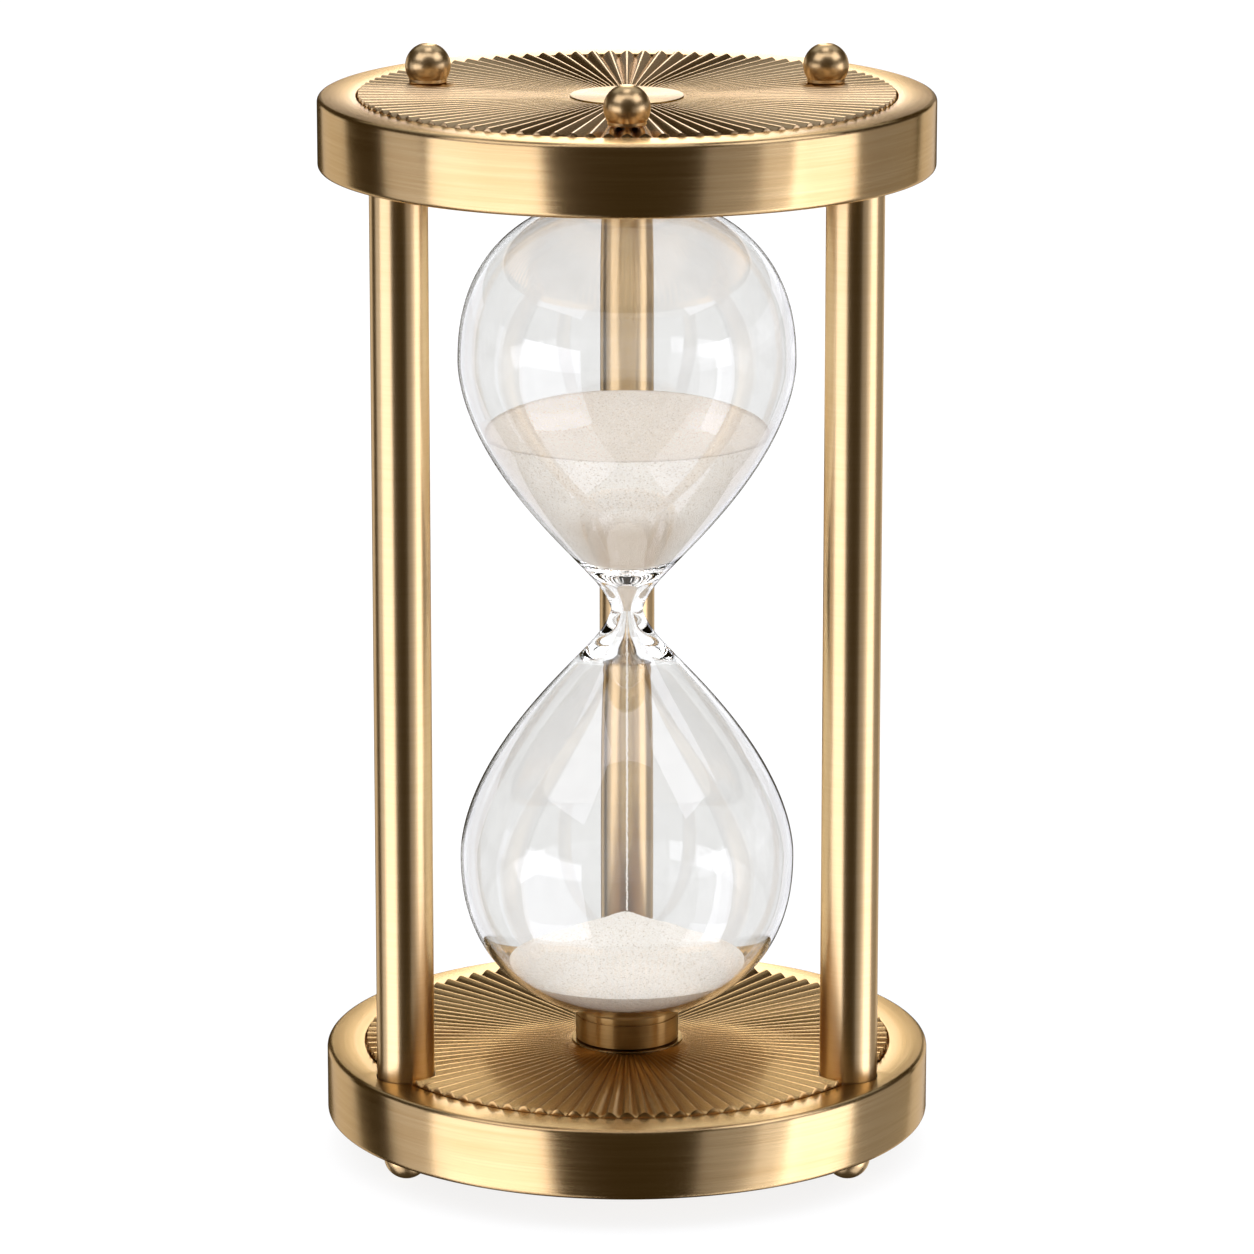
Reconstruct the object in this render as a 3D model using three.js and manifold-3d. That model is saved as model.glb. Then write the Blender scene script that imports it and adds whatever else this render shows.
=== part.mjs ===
// Three-column brass sand timer, in millimetres, +Z up.
// The origin is on the surface that it stands on, in the middle of its plates.
import * as THREE from 'three';
import { mergeVertices } from 'three/addons/utils/BufferGeometryUtils.js';
import Module from 'manifold-3d';

const manifold = await Module();
manifold.setup();

// ---------------------------------------------------------------- driving dimensions
const GAP = 0.3; // left between pieces that touch on the real object

const PLATE_RADIUS = 65;
const PLATE_THICKNESS = 15.3;
const EDGE_ROUND = 1;
const RECESS_RADIUS = 56.8;
const RECESS_DEPTH = 2.2;

const DISC_RADIUS = 55.9;
const FLUTE_COUNT = 96;
const FLUTE_HEIGHT = 1.2; // crest over valley at the disc's edge
const HUB_RADIUS = 12;
const HUB_HEIGHT = 0.3;

const COLUMN_RADIUS = 6.1;
const COLUMN_SPAN = 191.4; // clear length between the two plates
const COLUMN_CIRCLE = 54.4;
const COLUMN_SEAT = 3; // how far each end goes into its plate
const COLUMN_STUD_BORE = 14; // depth of the tapped hole in its foot
const COLUMN_SCREW_BORE = 16; // and of the one in its head

const BALL_RADIUS = 4.83;
const BALL_RISE = 2.7; // ball centre over its flat base
const BALL_TIP = 4.6; // flat resting tip over the ball centre
const BALL_BORE_END = 0.6; // end of its tapped hole, over the ball centre
const SPIGOT_RADIUS = 4;
const SPIGOT_LENGTH = 2.6;
const FINIAL_CIRCLE = 44;
const FINIAL_SEAT = 0.87; // share of the flutes' height at a finial's outer side

const STUD_RADIUS = 2;
const STUD_GRIP = 9; // how far a foot's stud goes past the plate into its column
const FINIAL_STUD_SEAT = 5; // inner end of a finial's hole, from the plate's inner face
const CHAMFER = 0.4; // at the ends of studs, shanks and columns
const SCREW_RADIUS = 2.5;
const SCREW_HEAD_RADIUS = 4.25;
const HEAD_SEAT = 8; // underside of a screw head, from the plate's inner face
const COLLAR_HEAD_HEIGHT = 3.2;
const COLUMN_HEAD_HEIGHT = 3.6;

const COLLAR_RADIUS = 11.1;
const COLLAR_BORE = 9.5;
const COLLAR_RISE = 7.3;
const COLLAR_FLOOR = 2;
const GROOVE_DROP = 1.3; // collar's groove, below its rim
const GROOVE_DEPTH = 0.3;

const BULB_RADIUS = 35.6; // widest radius of a bulb, less the neck's small share
const BULB_HEIGHT = 54; // widest ring over the neck
const BULB_TAPER = 52; // length over which the bulb tapers to the neck
const TAPER_POWER = 1.75;
const CROWN_HEIGHT = 34.9; // bulb's pole over its widest ring
const CROWN_POWER = 2.28;
const NECK_CORE = 1.7;
const NECK_BLEND = 6.2;
const WALL = 1.2;
const NECK_WALL_REACH = 9; // height over which thick glass is gathered round the neck
const NECK_WALL_EDGE = 6; // power that sets how sharply the thick glass ends
const ORIFICE_RADIUS = 0.8;
const CHANNEL_SLOPE = 0.33; // radius gained per height in the thick glass
const STUB_RADIUS = 4;
const STUB_BORE = 2.4;
const STUB_LENGTH = 2.9;
const STOPPER_DEPTH = 5;
const STOPPER_CAP = 0.6; // its head's thickness, and how far it stays inside the stub's rim

const UPPER_SAND_RIM = 38.9; // over the neck
const UPPER_SAND_DISH = 8;
const LOWER_SAND_RIM = 78.5; // under the neck
const LOWER_SAND_PEAK = 67.5;
const PEAK_WIDTH = 0.12; // share of the heap's width that is rounded off
const PEAK_DROP = 0.9;
const CROWN_RINGS = [0.4, 1.6, 3.6, 6]; // the charge's rings, over the lower pole
const STREAM_RADIUS = 0.4;
const SAND_GAP = 0.7; // clear of the flats between the glass's rings

// segments round a full turn
const ROUND_PLATE = 48;
const ROUND_GLASS = 24;
const ROUND_ROD = 16;
const ROUND_BALL = 16;
const ROUND_SMALL = 12;

// ---------------------------------------------------------------- derived places
const FOOT_RISE = BALL_RISE + BALL_TIP;
const LOWER_FACE = FOOT_RISE + PLATE_THICKNESS; // inner face of the lower plate
const UPPER_FACE = LOWER_FACE + COLUMN_SPAN; // inner face of the upper plate
const NECK_Z = (LOWER_FACE + UPPER_FACE) / 2;
const OUTER_FLOOR = PLATE_THICKNESS - RECESS_DEPTH;
const DISC_THICKNESS = RECESS_DEPTH - GAP;

const degrees = THREE.MathUtils.degToRad;
const onCircle = (radius, angle) => ({
  x: radius * Math.cos(degrees(angle)),
  y: radius * Math.sin(degrees(angle)),
});
const COLUMN_PLACES = [
  { name: 'front_left', ...onCircle(COLUMN_CIRCLE, -150) },
  { name: 'front_right', ...onCircle(COLUMN_CIRCLE, -30) },
  { name: 'back', ...onCircle(COLUMN_CIRCLE, 90) },
];
const FINIAL_PLACES = [
  { name: 'front', ...onCircle(FINIAL_CIRCLE, -90) },
  { name: 'back_left', ...onCircle(FINIAL_CIRCLE, 163) },
  { name: 'back_right', ...onCircle(FINIAL_CIRCLE, 17) },
];

// ---------------------------------------------------------------- finishes
const finish = (color, roughness, metalness, extra = {}) => () =>
  new THREE.MeshStandardMaterial({ color, roughness, metalness, ...extra });
const brushedBrass = finish(0xb39766, 0.34, 1);
const flutedBrass = finish(0xa88a58, 0.3, 1);
const polishedBrass = finish(0xc0a06a, 0.18, 1);
const steel = finish(0x9a9a98, 0.4, 1);
const clearGlass = finish(0xf2f4f3, 0.03, 0, { transparent: true, opacity: 0.3 });
const whiteSand = finish(0xe9e2da, 0.95, 0);
const cork = finish(0xb08a5e, 0.9, 0);

// ---------------------------------------------------------------- shape helpers
// A turned solid: outline is [radius, height] pairs, anticlockwise, on the axis or closed.
function turned(outline, segments) {
  const points = outline.map(([radius, height]) => new THREE.Vector2(radius, height));
  const onAxis = outline[0][0] === 0 && outline.at(-1)[0] === 0;
  if (!onAxis) {
    points.push(points[0].clone());
  }
  return new THREE.LatheGeometry(points, segments).rotateX(Math.PI / 2);
}

// A rod along Z from one height to another, at a place.
function rod(radius, from, to, { x, y }, segments = ROUND_SMALL) {
  const geometry = new THREE.CylinderGeometry(radius, radius, to - from, segments);
  geometry.rotateX(Math.PI / 2);
  geometry.translate(x, y, (from + to) / 2);
  return geometry;
}

function toSolid(geometry) {
  const bare = geometry.clone();
  bare.deleteAttribute('normal');
  bare.deleteAttribute('uv');
  const merged = mergeVertices(bare);
  const vertProperties = new Float32Array(merged.attributes.position.array);
  const triVerts = new Uint32Array(merged.index.array);
  return new manifold.Manifold(new manifold.Mesh({ numProp: 3, vertProperties, triVerts }));
}

function toGeometry(solid) {
  const mesh = solid.getMesh();
  const geometry = new THREE.BufferGeometry();
  geometry.setAttribute('position', new THREE.BufferAttribute(mesh.vertProperties, 3));
  geometry.setIndex(new THREE.BufferAttribute(mesh.triVerts, 1));
  geometry.computeVertexNormals();
  return geometry;
}

function cutFrom(geometry, tools) {
  const solid = tools.reduce((rest, tool) => rest.subtract(toSolid(tool)), toSolid(geometry));
  return toGeometry(solid);
}

function piece(name, geometry, material) {
  const mesh = new THREE.Mesh(geometry, material());
  mesh.name = name;
  return mesh;
}

// Evenly spaced values from start to end, both included.
const steps = (start, end, count) =>
  Array.from({ length: count + 1 }, (_, i) => start + ((end - start) * i) / count);

// The larger of two values, blended smoothly where they cross.
const softMax = (a, b, blend) => 0.5 * (a + b + Math.hypot(a - b, blend));

// ---------------------------------------------------------------- glass profile
// Heights here are distances from the neck, and serve both bulbs.
function bulbTaper(height) {
  const along = (BULB_HEIGHT - height) / BULB_TAPER;
  return BULB_RADIUS * (1 - along ** TAPER_POWER);
}

function crownRadius(height, widest, rise) {
  const along = Math.min((height - BULB_HEIGHT) / rise, 1);
  return widest * (1 - along ** CROWN_POWER) ** (1 / CROWN_POWER);
}

function outerRadius(height) {
  const widest = softMax(BULB_RADIUS, NECK_CORE, NECK_BLEND);
  return height > BULB_HEIGHT
    ? crownRadius(height, widest, CROWN_HEIGHT)
    : softMax(bulbTaper(height), NECK_CORE, NECK_BLEND);
}

// A thin wall over most of the bulb, and a narrow channel in the thick glass round the neck.
function innerRadius(height) {
  if (height > BULB_HEIGHT) {
    return crownRadius(height, outerRadius(BULB_HEIGHT) - WALL, CROWN_HEIGHT - WALL);
  }
  const gathered = Math.exp(-((height / NECK_WALL_REACH) ** NECK_WALL_EDGE));
  const channel = Math.hypot(ORIFICE_RADIUS, CHANNEL_SLOPE * height);
  return (outerRadius(height) - WALL) * (1 - gathered) + channel * gathered;
}

// Height at which a bulb's crown has a given radius.
function crownHeight(radius, widest, rise) {
  return BULB_HEIGHT + rise * (1 - (radius / widest) ** CROWN_POWER) ** (1 / CROWN_POWER);
}

// Heights that follow a bulb's wall, close together where it curves.
function wallHeights(end, rise) {
  const neck = [0, 2.5, 5, 6.5, 8, 9.5, 11, 14, 19, 26, 36, 46];
  const crown = steps(0, 1, 5).map((t) => BULB_HEIGHT + rise * Math.sin((t * Math.PI) / 2));
  return [...neck, ...crown].filter((height) => height < end - 1).concat(end);
}

// ---------------------------------------------------------------- end plates and discs
// An end is drawn with z = 0 on the plate's inner face and +Z pointing outwards.
function plateOutline() {
  const hole = STUD_RADIUS + GAP;
  const headBore = SCREW_HEAD_RADIUS + GAP;
  const corner = EDGE_ROUND * (1 - Math.SQRT1_2);
  const flat = PLATE_RADIUS - EDGE_ROUND;
  return [
    [hole, RECESS_DEPTH],
    [RECESS_RADIUS, RECESS_DEPTH],
    [RECESS_RADIUS, 0],
    [flat, 0],
    [PLATE_RADIUS - corner, corner],
    [PLATE_RADIUS, EDGE_ROUND],
    [PLATE_RADIUS, PLATE_THICKNESS - EDGE_ROUND],
    [PLATE_RADIUS - corner, PLATE_THICKNESS - corner],
    [flat, PLATE_THICKNESS],
    [RECESS_RADIUS, PLATE_THICKNESS],
    [RECESS_RADIUS, OUTER_FLOOR],
    [headBore, OUTER_FLOOR],
    [headBore, HEAD_SEAT - GAP],
    [hole, HEAD_SEAT - GAP],
  ];
}

function columnSeats(places) {
  const depth = COLUMN_SEAT + GAP;
  return places.map((place) => rod(COLUMN_RADIUS + GAP, -1, depth, place, ROUND_ROD));
}

function lowerPlate(places) {
  const spigotSeats = places.map((place) =>
    rod(SPIGOT_RADIUS + GAP, PLATE_THICKNESS - SPIGOT_LENGTH - GAP, PLATE_THICKNESS + 1, place, ROUND_BALL));
  const studHoles = places.map((place) => rod(STUD_RADIUS + GAP, 0, PLATE_THICKNESS, place));
  const tools = [...columnSeats(places), ...spigotSeats, ...studHoles];
  return cutFrom(turned(plateOutline(), ROUND_PLATE), tools);
}

function upperPlate(columns, finials) {
  const headBores = columns.map((place) =>
    rod(SCREW_HEAD_RADIUS + GAP, HEAD_SEAT - GAP, OUTER_FLOOR + 1, place, ROUND_BALL));
  const screwHoles = columns.map((place) => rod(SCREW_RADIUS + GAP, 0, PLATE_THICKNESS - 1, place));
  const studHoles = finials.map((place) => rod(STUD_RADIUS + GAP, FINIAL_STUD_SEAT, OUTER_FLOOR + 1, place));
  const tools = [...columnSeats(columns), ...headBores, ...screwHoles, ...studHoles];
  return cutFrom(turned(plateOutline(), ROUND_PLATE), tools);
}

// A sunray disc lying on z = 0: straight flutes fan out from a plain hub to the edge.
function flutedDisc(tools) {
  const segments = 2 * FLUTE_COUNT;
  const hub = DISC_THICKNESS + HUB_HEIGHT;
  const outline = [[0, 0], [DISC_RADIUS, 0], [DISC_RADIUS, DISC_THICKNESS], [HUB_RADIUS, hub], [0, hub]];
  const edgePoint = 2;
  const disc = new THREE.LatheGeometry(outline.map((point) => new THREE.Vector2(...point)), segments);
  const heights = disc.attributes.position;
  for (let ray = 0; ray <= segments; ray += 2) {
    heights.setY(ray * outline.length + edgePoint, DISC_THICKNESS + FLUTE_HEIGHT);
  }
  return cutFrom(disc.rotateX(Math.PI / 2), tools);
}

function roundHoles(radius, places, segments = ROUND_SMALL) {
  return places.map((place) => rod(radius, -1, DISC_THICKNESS + 3, place, segments));
}

// ---------------------------------------------------------------- collar and its screw
function collar() {
  const groove = COLLAR_RISE - GROOVE_DROP;
  const inGroove = COLLAR_RADIUS - GROOVE_DEPTH;
  const base = HUB_HEIGHT + GAP;
  return turned([
    [STUD_RADIUS + GAP, base],
    [COLLAR_RADIUS, base],
    [COLLAR_RADIUS, groove],
    [inGroove, groove],
    [inGroove, groove + CHAMFER],
    [COLLAR_RADIUS, groove + CHAMFER],
    [COLLAR_RADIUS, COLLAR_RISE - GROOVE_DEPTH],
    [inGroove, COLLAR_RISE],
    [COLLAR_BORE, COLLAR_RISE],
    [COLLAR_BORE, base + COLLAR_FLOOR],
    [STUD_RADIUS + GAP, base + COLLAR_FLOOR],
  ], ROUND_GLASS);
}

// A soft ring in the collar, dished to carry the bulb's crown.
function cushion() {
  const base = HUB_HEIGHT + COLLAR_FLOOR + 2 * GAP;
  return turned([
    [STUB_RADIUS + 0.4, base],
    [COLLAR_BORE - GAP, base],
    [COLLAR_BORE - GAP, COLLAR_RISE - 0.1],
    [STUB_RADIUS + 0.4, COLLAR_RISE - 0.8],
  ], ROUND_GLASS);
}

// A slotted cheese-head screw with its head's underside on z = 0 and its shank downwards.
function screw(shankRadius, shankLength, headHeight) {
  const body = turned([
    [0, -shankLength],
    [shankRadius - CHAMFER, -shankLength],
    [shankRadius, -shankLength + CHAMFER],
    [shankRadius, 0],
    [SCREW_HEAD_RADIUS, 0],
    [SCREW_HEAD_RADIUS, headHeight],
    [0, headHeight],
  ], ROUND_SMALL);
  const slot = new THREE.BoxGeometry(3 * SCREW_HEAD_RADIUS, 1, 2);
  slot.translate(0, 0, headHeight);
  return cutFrom(body, [slot]);
}

// ---------------------------------------------------------------- columns, feet and finials
function column() {
  const from = LOWER_FACE - COLUMN_SEAT;
  const to = UPPER_FACE + COLUMN_SEAT;
  const studBore = STUD_RADIUS + GAP;
  const screwBore = SCREW_RADIUS + GAP;
  return turned([
    [0, from + COLUMN_STUD_BORE],
    [studBore, from + COLUMN_STUD_BORE],
    [studBore, from],
    [COLUMN_RADIUS - CHAMFER, from],
    [COLUMN_RADIUS, from + CHAMFER],
    [COLUMN_RADIUS, to - CHAMFER],
    [COLUMN_RADIUS - CHAMFER, to],
    [screwBore, to],
    [screwBore, to - COLUMN_SCREW_BORE],
    [0, to - COLUMN_SCREW_BORE],
  ], ROUND_ROD);
}

// A ball with a flat base on z = 0, a small flat tip, a tapped hole and a spigot below.
function ball(spigotLength) {
  const start = Math.atan2(-BALL_RISE, SPIGOT_RADIUS);
  const end = Math.asin(BALL_TIP / BALL_RADIUS);
  const round = steps(start, end, 6).map((angle) => [
    BALL_RADIUS * Math.cos(angle),
    BALL_RISE + BALL_RADIUS * Math.sin(angle),
  ]);
  round[0] = [SPIGOT_RADIUS, 0];
  const bore = STUD_RADIUS + GAP;
  const spigot = spigotLength > 0 ? [[SPIGOT_RADIUS, -spigotLength]] : [];
  const boreEnd = BALL_RISE + BALL_BORE_END;
  return turned([
    [0, boreEnd],
    [bore, boreEnd],
    [bore, -spigotLength],
    ...spigot,
    ...round,
    [0, BALL_RISE + BALL_TIP],
  ], ROUND_BALL);
}

function stud(from, to) {
  return turned([
    [0, from],
    [STUD_RADIUS - CHAMFER, from],
    [STUD_RADIUS, from + CHAMFER],
    [STUD_RADIUS, to - CHAMFER],
    [STUD_RADIUS - CHAMFER, to],
    [0, to],
  ], ROUND_SMALL);
}

// ---------------------------------------------------------------- glass and sand
// One blown vessel: the lower stub is melted shut and the upper one is left open to fill it.
function glassVessel() {
  const widest = outerRadius(BULB_HEIGHT);
  const stubStart = crownHeight(STUB_RADIUS, widest, CROWN_HEIGHT);
  const boreStart = crownHeight(STUB_BORE, innerRadius(BULB_HEIGHT), CROWN_HEIGHT - WALL);
  const stubEnd = BULB_HEIGHT + CROWN_HEIGHT + STUB_LENGTH;
  const outside = wallHeights(stubStart, CROWN_HEIGHT);
  const inside = wallHeights(boreStart, CROWN_HEIGHT - WALL);
  const pole = BULB_HEIGHT + CROWN_HEIGHT - WALL;
  const mirrored = (heights) => [...heights.map((height) => -height).reverse(), ...heights.slice(1)];
  const wall = (heights, radius) => mirrored(heights).map((z) => [radius(Math.abs(z)), z]);
  return turned([
    [0, -stubEnd],
    [STUB_RADIUS - 1, -stubEnd],
    [STUB_RADIUS, -stubEnd + 1],
    ...wall(outside, outerRadius),
    [STUB_RADIUS, stubEnd],
    [STUB_BORE, stubEnd],
    ...wall(inside, innerRadius).reverse(),
    [0, -pole],
  ], ROUND_GLASS);
}

function stopper() {
  const mouth = BULB_HEIGHT + CROWN_HEIGHT + STUB_LENGTH;
  const head = mouth + GAP;
  const headRadius = STUB_RADIUS - STOPPER_CAP;
  return turned([
    [0, mouth - STOPPER_DEPTH],
    [STUB_BORE - 0.5, mouth - STOPPER_DEPTH],
    [STUB_BORE - GAP, head],
    [headRadius, head],
    [headRadius, head + STOPPER_CAP],
    [0, head + STOPPER_CAP],
  ], ROUND_SMALL);
}

// The charge still to run: it lines the upper bulb, and its top is dished over the neck.
function upperSand() {
  const wall = [2.5, 5, 6.5, 8, 9.5, 11, 14, 19, 26, 36, UPPER_SAND_RIM];
  const dish = steps(0.8, 0, 4).map((t) => {
    const radius = t * innerRadius(UPPER_SAND_RIM);
    return [radius, UPPER_SAND_RIM - UPPER_SAND_DISH * Math.cos((t * Math.PI) / 2) ** 2];
  });
  return turned([
    [0, wall[0]],
    ...wall.map((height) => [Math.max(innerRadius(height) - SAND_GAP, 0.4), height]),
    ...dish,
  ], ROUND_GLASS);
}

// The heap that has run through: the lower crown filled, with a blunt cone on it.
function lowerSand() {
  const pole = BULB_HEIGHT + CROWN_HEIGHT - WALL - SAND_GAP;
  const crown = [...CROWN_RINGS.map((rise) => pole - rise), LOWER_SAND_RIM];
  const edge = innerRadius(LOWER_SAND_RIM) - SAND_GAP;
  return turned([
    [0, -pole],
    ...crown.map((height) => [innerRadius(height + SAND_GAP) - SAND_GAP, -height]),
    [edge * PEAK_WIDTH, -LOWER_SAND_PEAK - PEAK_DROP],
    [0, -LOWER_SAND_PEAK],
  ], ROUND_GLASS);
}

function sandStream() {
  return rod(STREAM_RADIUS, -LOWER_SAND_PEAK + GAP, 2 - GAP, { x: 0, y: 0 }, 8);
}

// ---------------------------------------------------------------- assembly
// Everything fixed to one plate. A lower end is turned over, which also swaps front and back.
function makeEnd(side) {
  const isUpper = side === 'upper';
  const turn = isUpper ? 1 : -1;
  const here = (places) => places.map(({ name, x, y }) => ({ name, x, y: turn * y }));
  const turnedOver = (places) => places.map(({ name, x, y }) => ({ name, x, y: -y }));
  const columns = here(COLUMN_PLACES);
  const finials = here(FINIAL_PLACES);
  const centre = [{ x: 0, y: 0 }];

  const end = new THREE.Group();
  end.position.z = isUpper ? UPPER_FACE : LOWER_FACE;
  end.rotation.x = isUpper ? 0 : Math.PI;

  const plate = isUpper ? upperPlate(columns, finials) : lowerPlate(columns);
  end.add(piece(`${side}_plate`, plate, brushedBrass));

  const innerCuts = [
    ...roundHoles(COLUMN_RADIUS + GAP, turnedOver(columns), ROUND_ROD),
    ...roundHoles(STUD_RADIUS + GAP, centre),
  ];
  const innerDisc = piece(`${side}_inner_disc`, flutedDisc(innerCuts), flutedBrass);
  innerDisc.rotation.x = Math.PI;
  innerDisc.position.z = DISC_THICKNESS;
  end.add(innerDisc);

  const outerCuts = isUpper
    ? roundHoles(STUD_RADIUS + GAP, finials)
    : roundHoles(BALL_RADIUS + GAP, columns, ROUND_BALL);
  const outerDisc = piece(`${side}_outer_disc`, flutedDisc(outerCuts), flutedBrass);
  outerDisc.position.z = OUTER_FLOOR + GAP;
  end.add(outerDisc);

  const seat = new THREE.Group();
  seat.rotation.x = Math.PI;
  seat.add(piece(`${side}_collar`, collar(), brushedBrass));
  seat.add(piece(`${side}_cushion`, cushion(), cork));
  end.add(seat);

  const shank = HEAD_SEAT + HUB_HEIGHT + COLLAR_FLOOR;
  const collarScrew = piece(`${side}_collar_screw`, screw(STUD_RADIUS, shank, COLLAR_HEAD_HEIGHT), steel);
  collarScrew.position.z = HEAD_SEAT;
  end.add(collarScrew);

  if (isUpper) {
    addFinials(end, finials);
    addColumnScrews(end, columns);
  } else {
    addFeet(end, columns);
  }
  return end;
}

function addFinials(end, places) {
  const crest = PLATE_THICKNESS + FLUTE_HEIGHT * FINIAL_SEAT + GAP;
  const studEnd = crest + BALL_RISE;
  for (const { name, x, y } of places) {
    const finial = piece(`finial_${name}`, ball(0), polishedBrass);
    finial.position.set(x, y, crest);
    const pin = piece(`finial_stud_${name}`, stud(FINIAL_STUD_SEAT + GAP, studEnd), steel);
    pin.position.set(x, y, 0);
    end.add(finial, pin);
  }
}

function addFeet(end, places) {
  const studEnd = PLATE_THICKNESS + BALL_RISE;
  for (const { name, x, y } of places) {
    const foot = piece(`foot_${name}`, ball(SPIGOT_LENGTH), polishedBrass);
    foot.position.set(x, y, PLATE_THICKNESS);
    const pin = piece(`foot_stud_${name}`, stud(-STUD_GRIP, studEnd), steel);
    pin.position.set(x, y, 0);
    end.add(foot, pin);
  }
}

function addColumnScrews(end, places) {
  const shank = HEAD_SEAT + STUD_GRIP;
  for (const { name, x, y } of places) {
    const body = screw(SCREW_RADIUS, shank, COLUMN_HEAD_HEIGHT);
    const fixing = piece(`column_screw_${name}`, body, steel);
    fixing.position.set(x, y, HEAD_SEAT);
    end.add(fixing);
  }
}

const timer = new THREE.Group();
timer.add(makeEnd('lower'), makeEnd('upper'));
for (const { name, x, y } of COLUMN_PLACES) {
  const post = piece(`column_${name}`, column(), brushedBrass);
  post.position.set(x, y, 0);
  timer.add(post);
}

const vessel = new THREE.Group();
vessel.position.z = NECK_Z;
vessel.add(
  piece('glass_vessel', glassVessel(), clearGlass),
  piece('stopper', stopper(), cork),
  piece('upper_sand', upperSand(), whiteSand),
  piece('lower_sand', lowerSand(), whiteSand),
  piece('sand_stream', sandStream(), whiteSand),
);
timer.add(vessel);

export default timer;
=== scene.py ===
"""Looks of a three-column brass sand timer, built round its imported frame."""

import logging
import math
from collections.abc import Callable, Iterable, Sequence
from dataclasses import dataclass, field
from enum import Enum
from typing import Any

import bmesh
import bpy
from mathutils import Matrix, Vector, noise


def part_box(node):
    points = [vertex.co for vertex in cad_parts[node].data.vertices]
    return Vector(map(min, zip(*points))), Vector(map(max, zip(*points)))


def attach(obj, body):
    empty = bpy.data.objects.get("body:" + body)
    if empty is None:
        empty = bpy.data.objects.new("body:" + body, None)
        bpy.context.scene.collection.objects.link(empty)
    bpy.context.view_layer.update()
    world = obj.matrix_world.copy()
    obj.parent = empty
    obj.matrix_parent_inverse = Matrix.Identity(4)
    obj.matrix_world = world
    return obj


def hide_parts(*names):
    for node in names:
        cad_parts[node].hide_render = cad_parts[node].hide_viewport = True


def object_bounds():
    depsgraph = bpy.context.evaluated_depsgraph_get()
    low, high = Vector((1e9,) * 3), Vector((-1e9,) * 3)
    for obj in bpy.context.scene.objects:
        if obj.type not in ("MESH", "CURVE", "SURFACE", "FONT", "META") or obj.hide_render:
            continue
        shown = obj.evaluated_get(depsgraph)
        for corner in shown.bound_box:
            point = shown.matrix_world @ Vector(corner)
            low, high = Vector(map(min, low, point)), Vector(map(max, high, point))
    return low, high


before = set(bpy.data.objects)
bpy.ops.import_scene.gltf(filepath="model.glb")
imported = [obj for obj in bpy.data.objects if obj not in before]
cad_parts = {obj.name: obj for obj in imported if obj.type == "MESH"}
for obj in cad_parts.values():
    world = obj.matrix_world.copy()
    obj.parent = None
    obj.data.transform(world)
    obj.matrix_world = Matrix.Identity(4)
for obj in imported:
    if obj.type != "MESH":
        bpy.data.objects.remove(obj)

CAD_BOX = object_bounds()
BODY = "root"
MM = 0.001
TURN = 2 * math.pi
ON_AXIS = 1e-7  # a smaller radius counts as a point on the axis
COLUMN_NAMES = ("front_left", "front_right", "back")
COLUMN_GAP = 0.22 * MM  # clearance round a column's end
FOOT_GAP = 0.25 * MM
LOG = logging.getLogger("sand_timer")

Profile = list[tuple[float, float]]
Colour = tuple[float, float, float]


class Side(Enum):
    """The two ends of the timer. The value is the direction that points out of the timer."""

    LOWER = -1
    UPPER = 1

    @property
    def word(self) -> str:
        """The side's name as the frame's nodes spell it."""
        return self.name.lower()


class Brush(Enum):
    """The way a brass surface is brushed. The value is the anisotropic rotation in turns."""

    ROUND = 0.25
    RADIAL = 0.0


def tone(red: int, green: int, blue: int) -> Colour:
    """Turns a colour as a screen shows it into the linear values that shaders use.

    Args:
        red: Red from 0 to 255.
        green: Green from 0 to 255.
        blue: Blue from 0 to 255.

    Returns:
        The three linear values, from 0 to 1.
    """
    def linear(value: float) -> float:
        """One channel, from the screen's curve to a linear value."""
        return value / 12.92 if value <= 0.04045 else ((value + 0.055) / 1.055) ** 2.4

    return linear(red / 255), linear(green / 255), linear(blue / 255)


# ---------------------------------------------------------------------------- node trees
def operator(operation: str, swapped: bool = False) -> Callable[["Wire", "Wire | float"], "Wire"]:
    """Makes a method of Wire that stands for a maths node.

    Args:
        operation: The node's operation.
        swapped: Whether the wire comes second, as in 1 - wire.

    Returns:
        The method.
    """
    def apply(self: "Wire", other: "Wire | float") -> "Wire":
        """The node's result."""
        return self.tree.math(operation, *((other, self) if swapped else (self, other)))

    return apply


class Wire:
    """A socket of a shader or geometry tree that takes part in Python expressions."""

    def __init__(self, tree: "Tree", socket: bpy.types.NodeSocket) -> None:
        """Wraps a socket.

        Args:
            tree: The tree that the socket's node belongs to.
            socket: The output socket.
        """
        self.tree = tree
        self.socket = socket

    __add__ = __radd__ = operator("ADD")
    __sub__ = operator("SUBTRACT")
    __rsub__ = operator("SUBTRACT", swapped=True)
    __mul__ = __rmul__ = operator("MULTIPLY")
    __truediv__ = operator("DIVIDE")
    __pow__ = operator("POWER")
    least = operator("MINIMUM")

    def cosine(self) -> "Wire":
        """The cosine of this angle."""
        return self.tree.math("COSINE", self)

    def sine(self) -> "Wire":
        """The sine of this angle."""
        return self.tree.math("SINE", self)

    def ramp(self, low: float, high: float) -> "Wire":
        """Rises smoothly from 0 to 1 as this value goes from low to high.

        Args:
            low: The value that gives 0.
            high: The value that gives 1.

        Returns:
            The smoothed value.
        """
        settings = {"interpolation_type": "SMOOTHSTEP"}
        sockets = {"Value": self, "From Min": low, "From Max": high}
        return self.tree.wire("ShaderNodeMapRange", sockets, "Result", settings)


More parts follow.
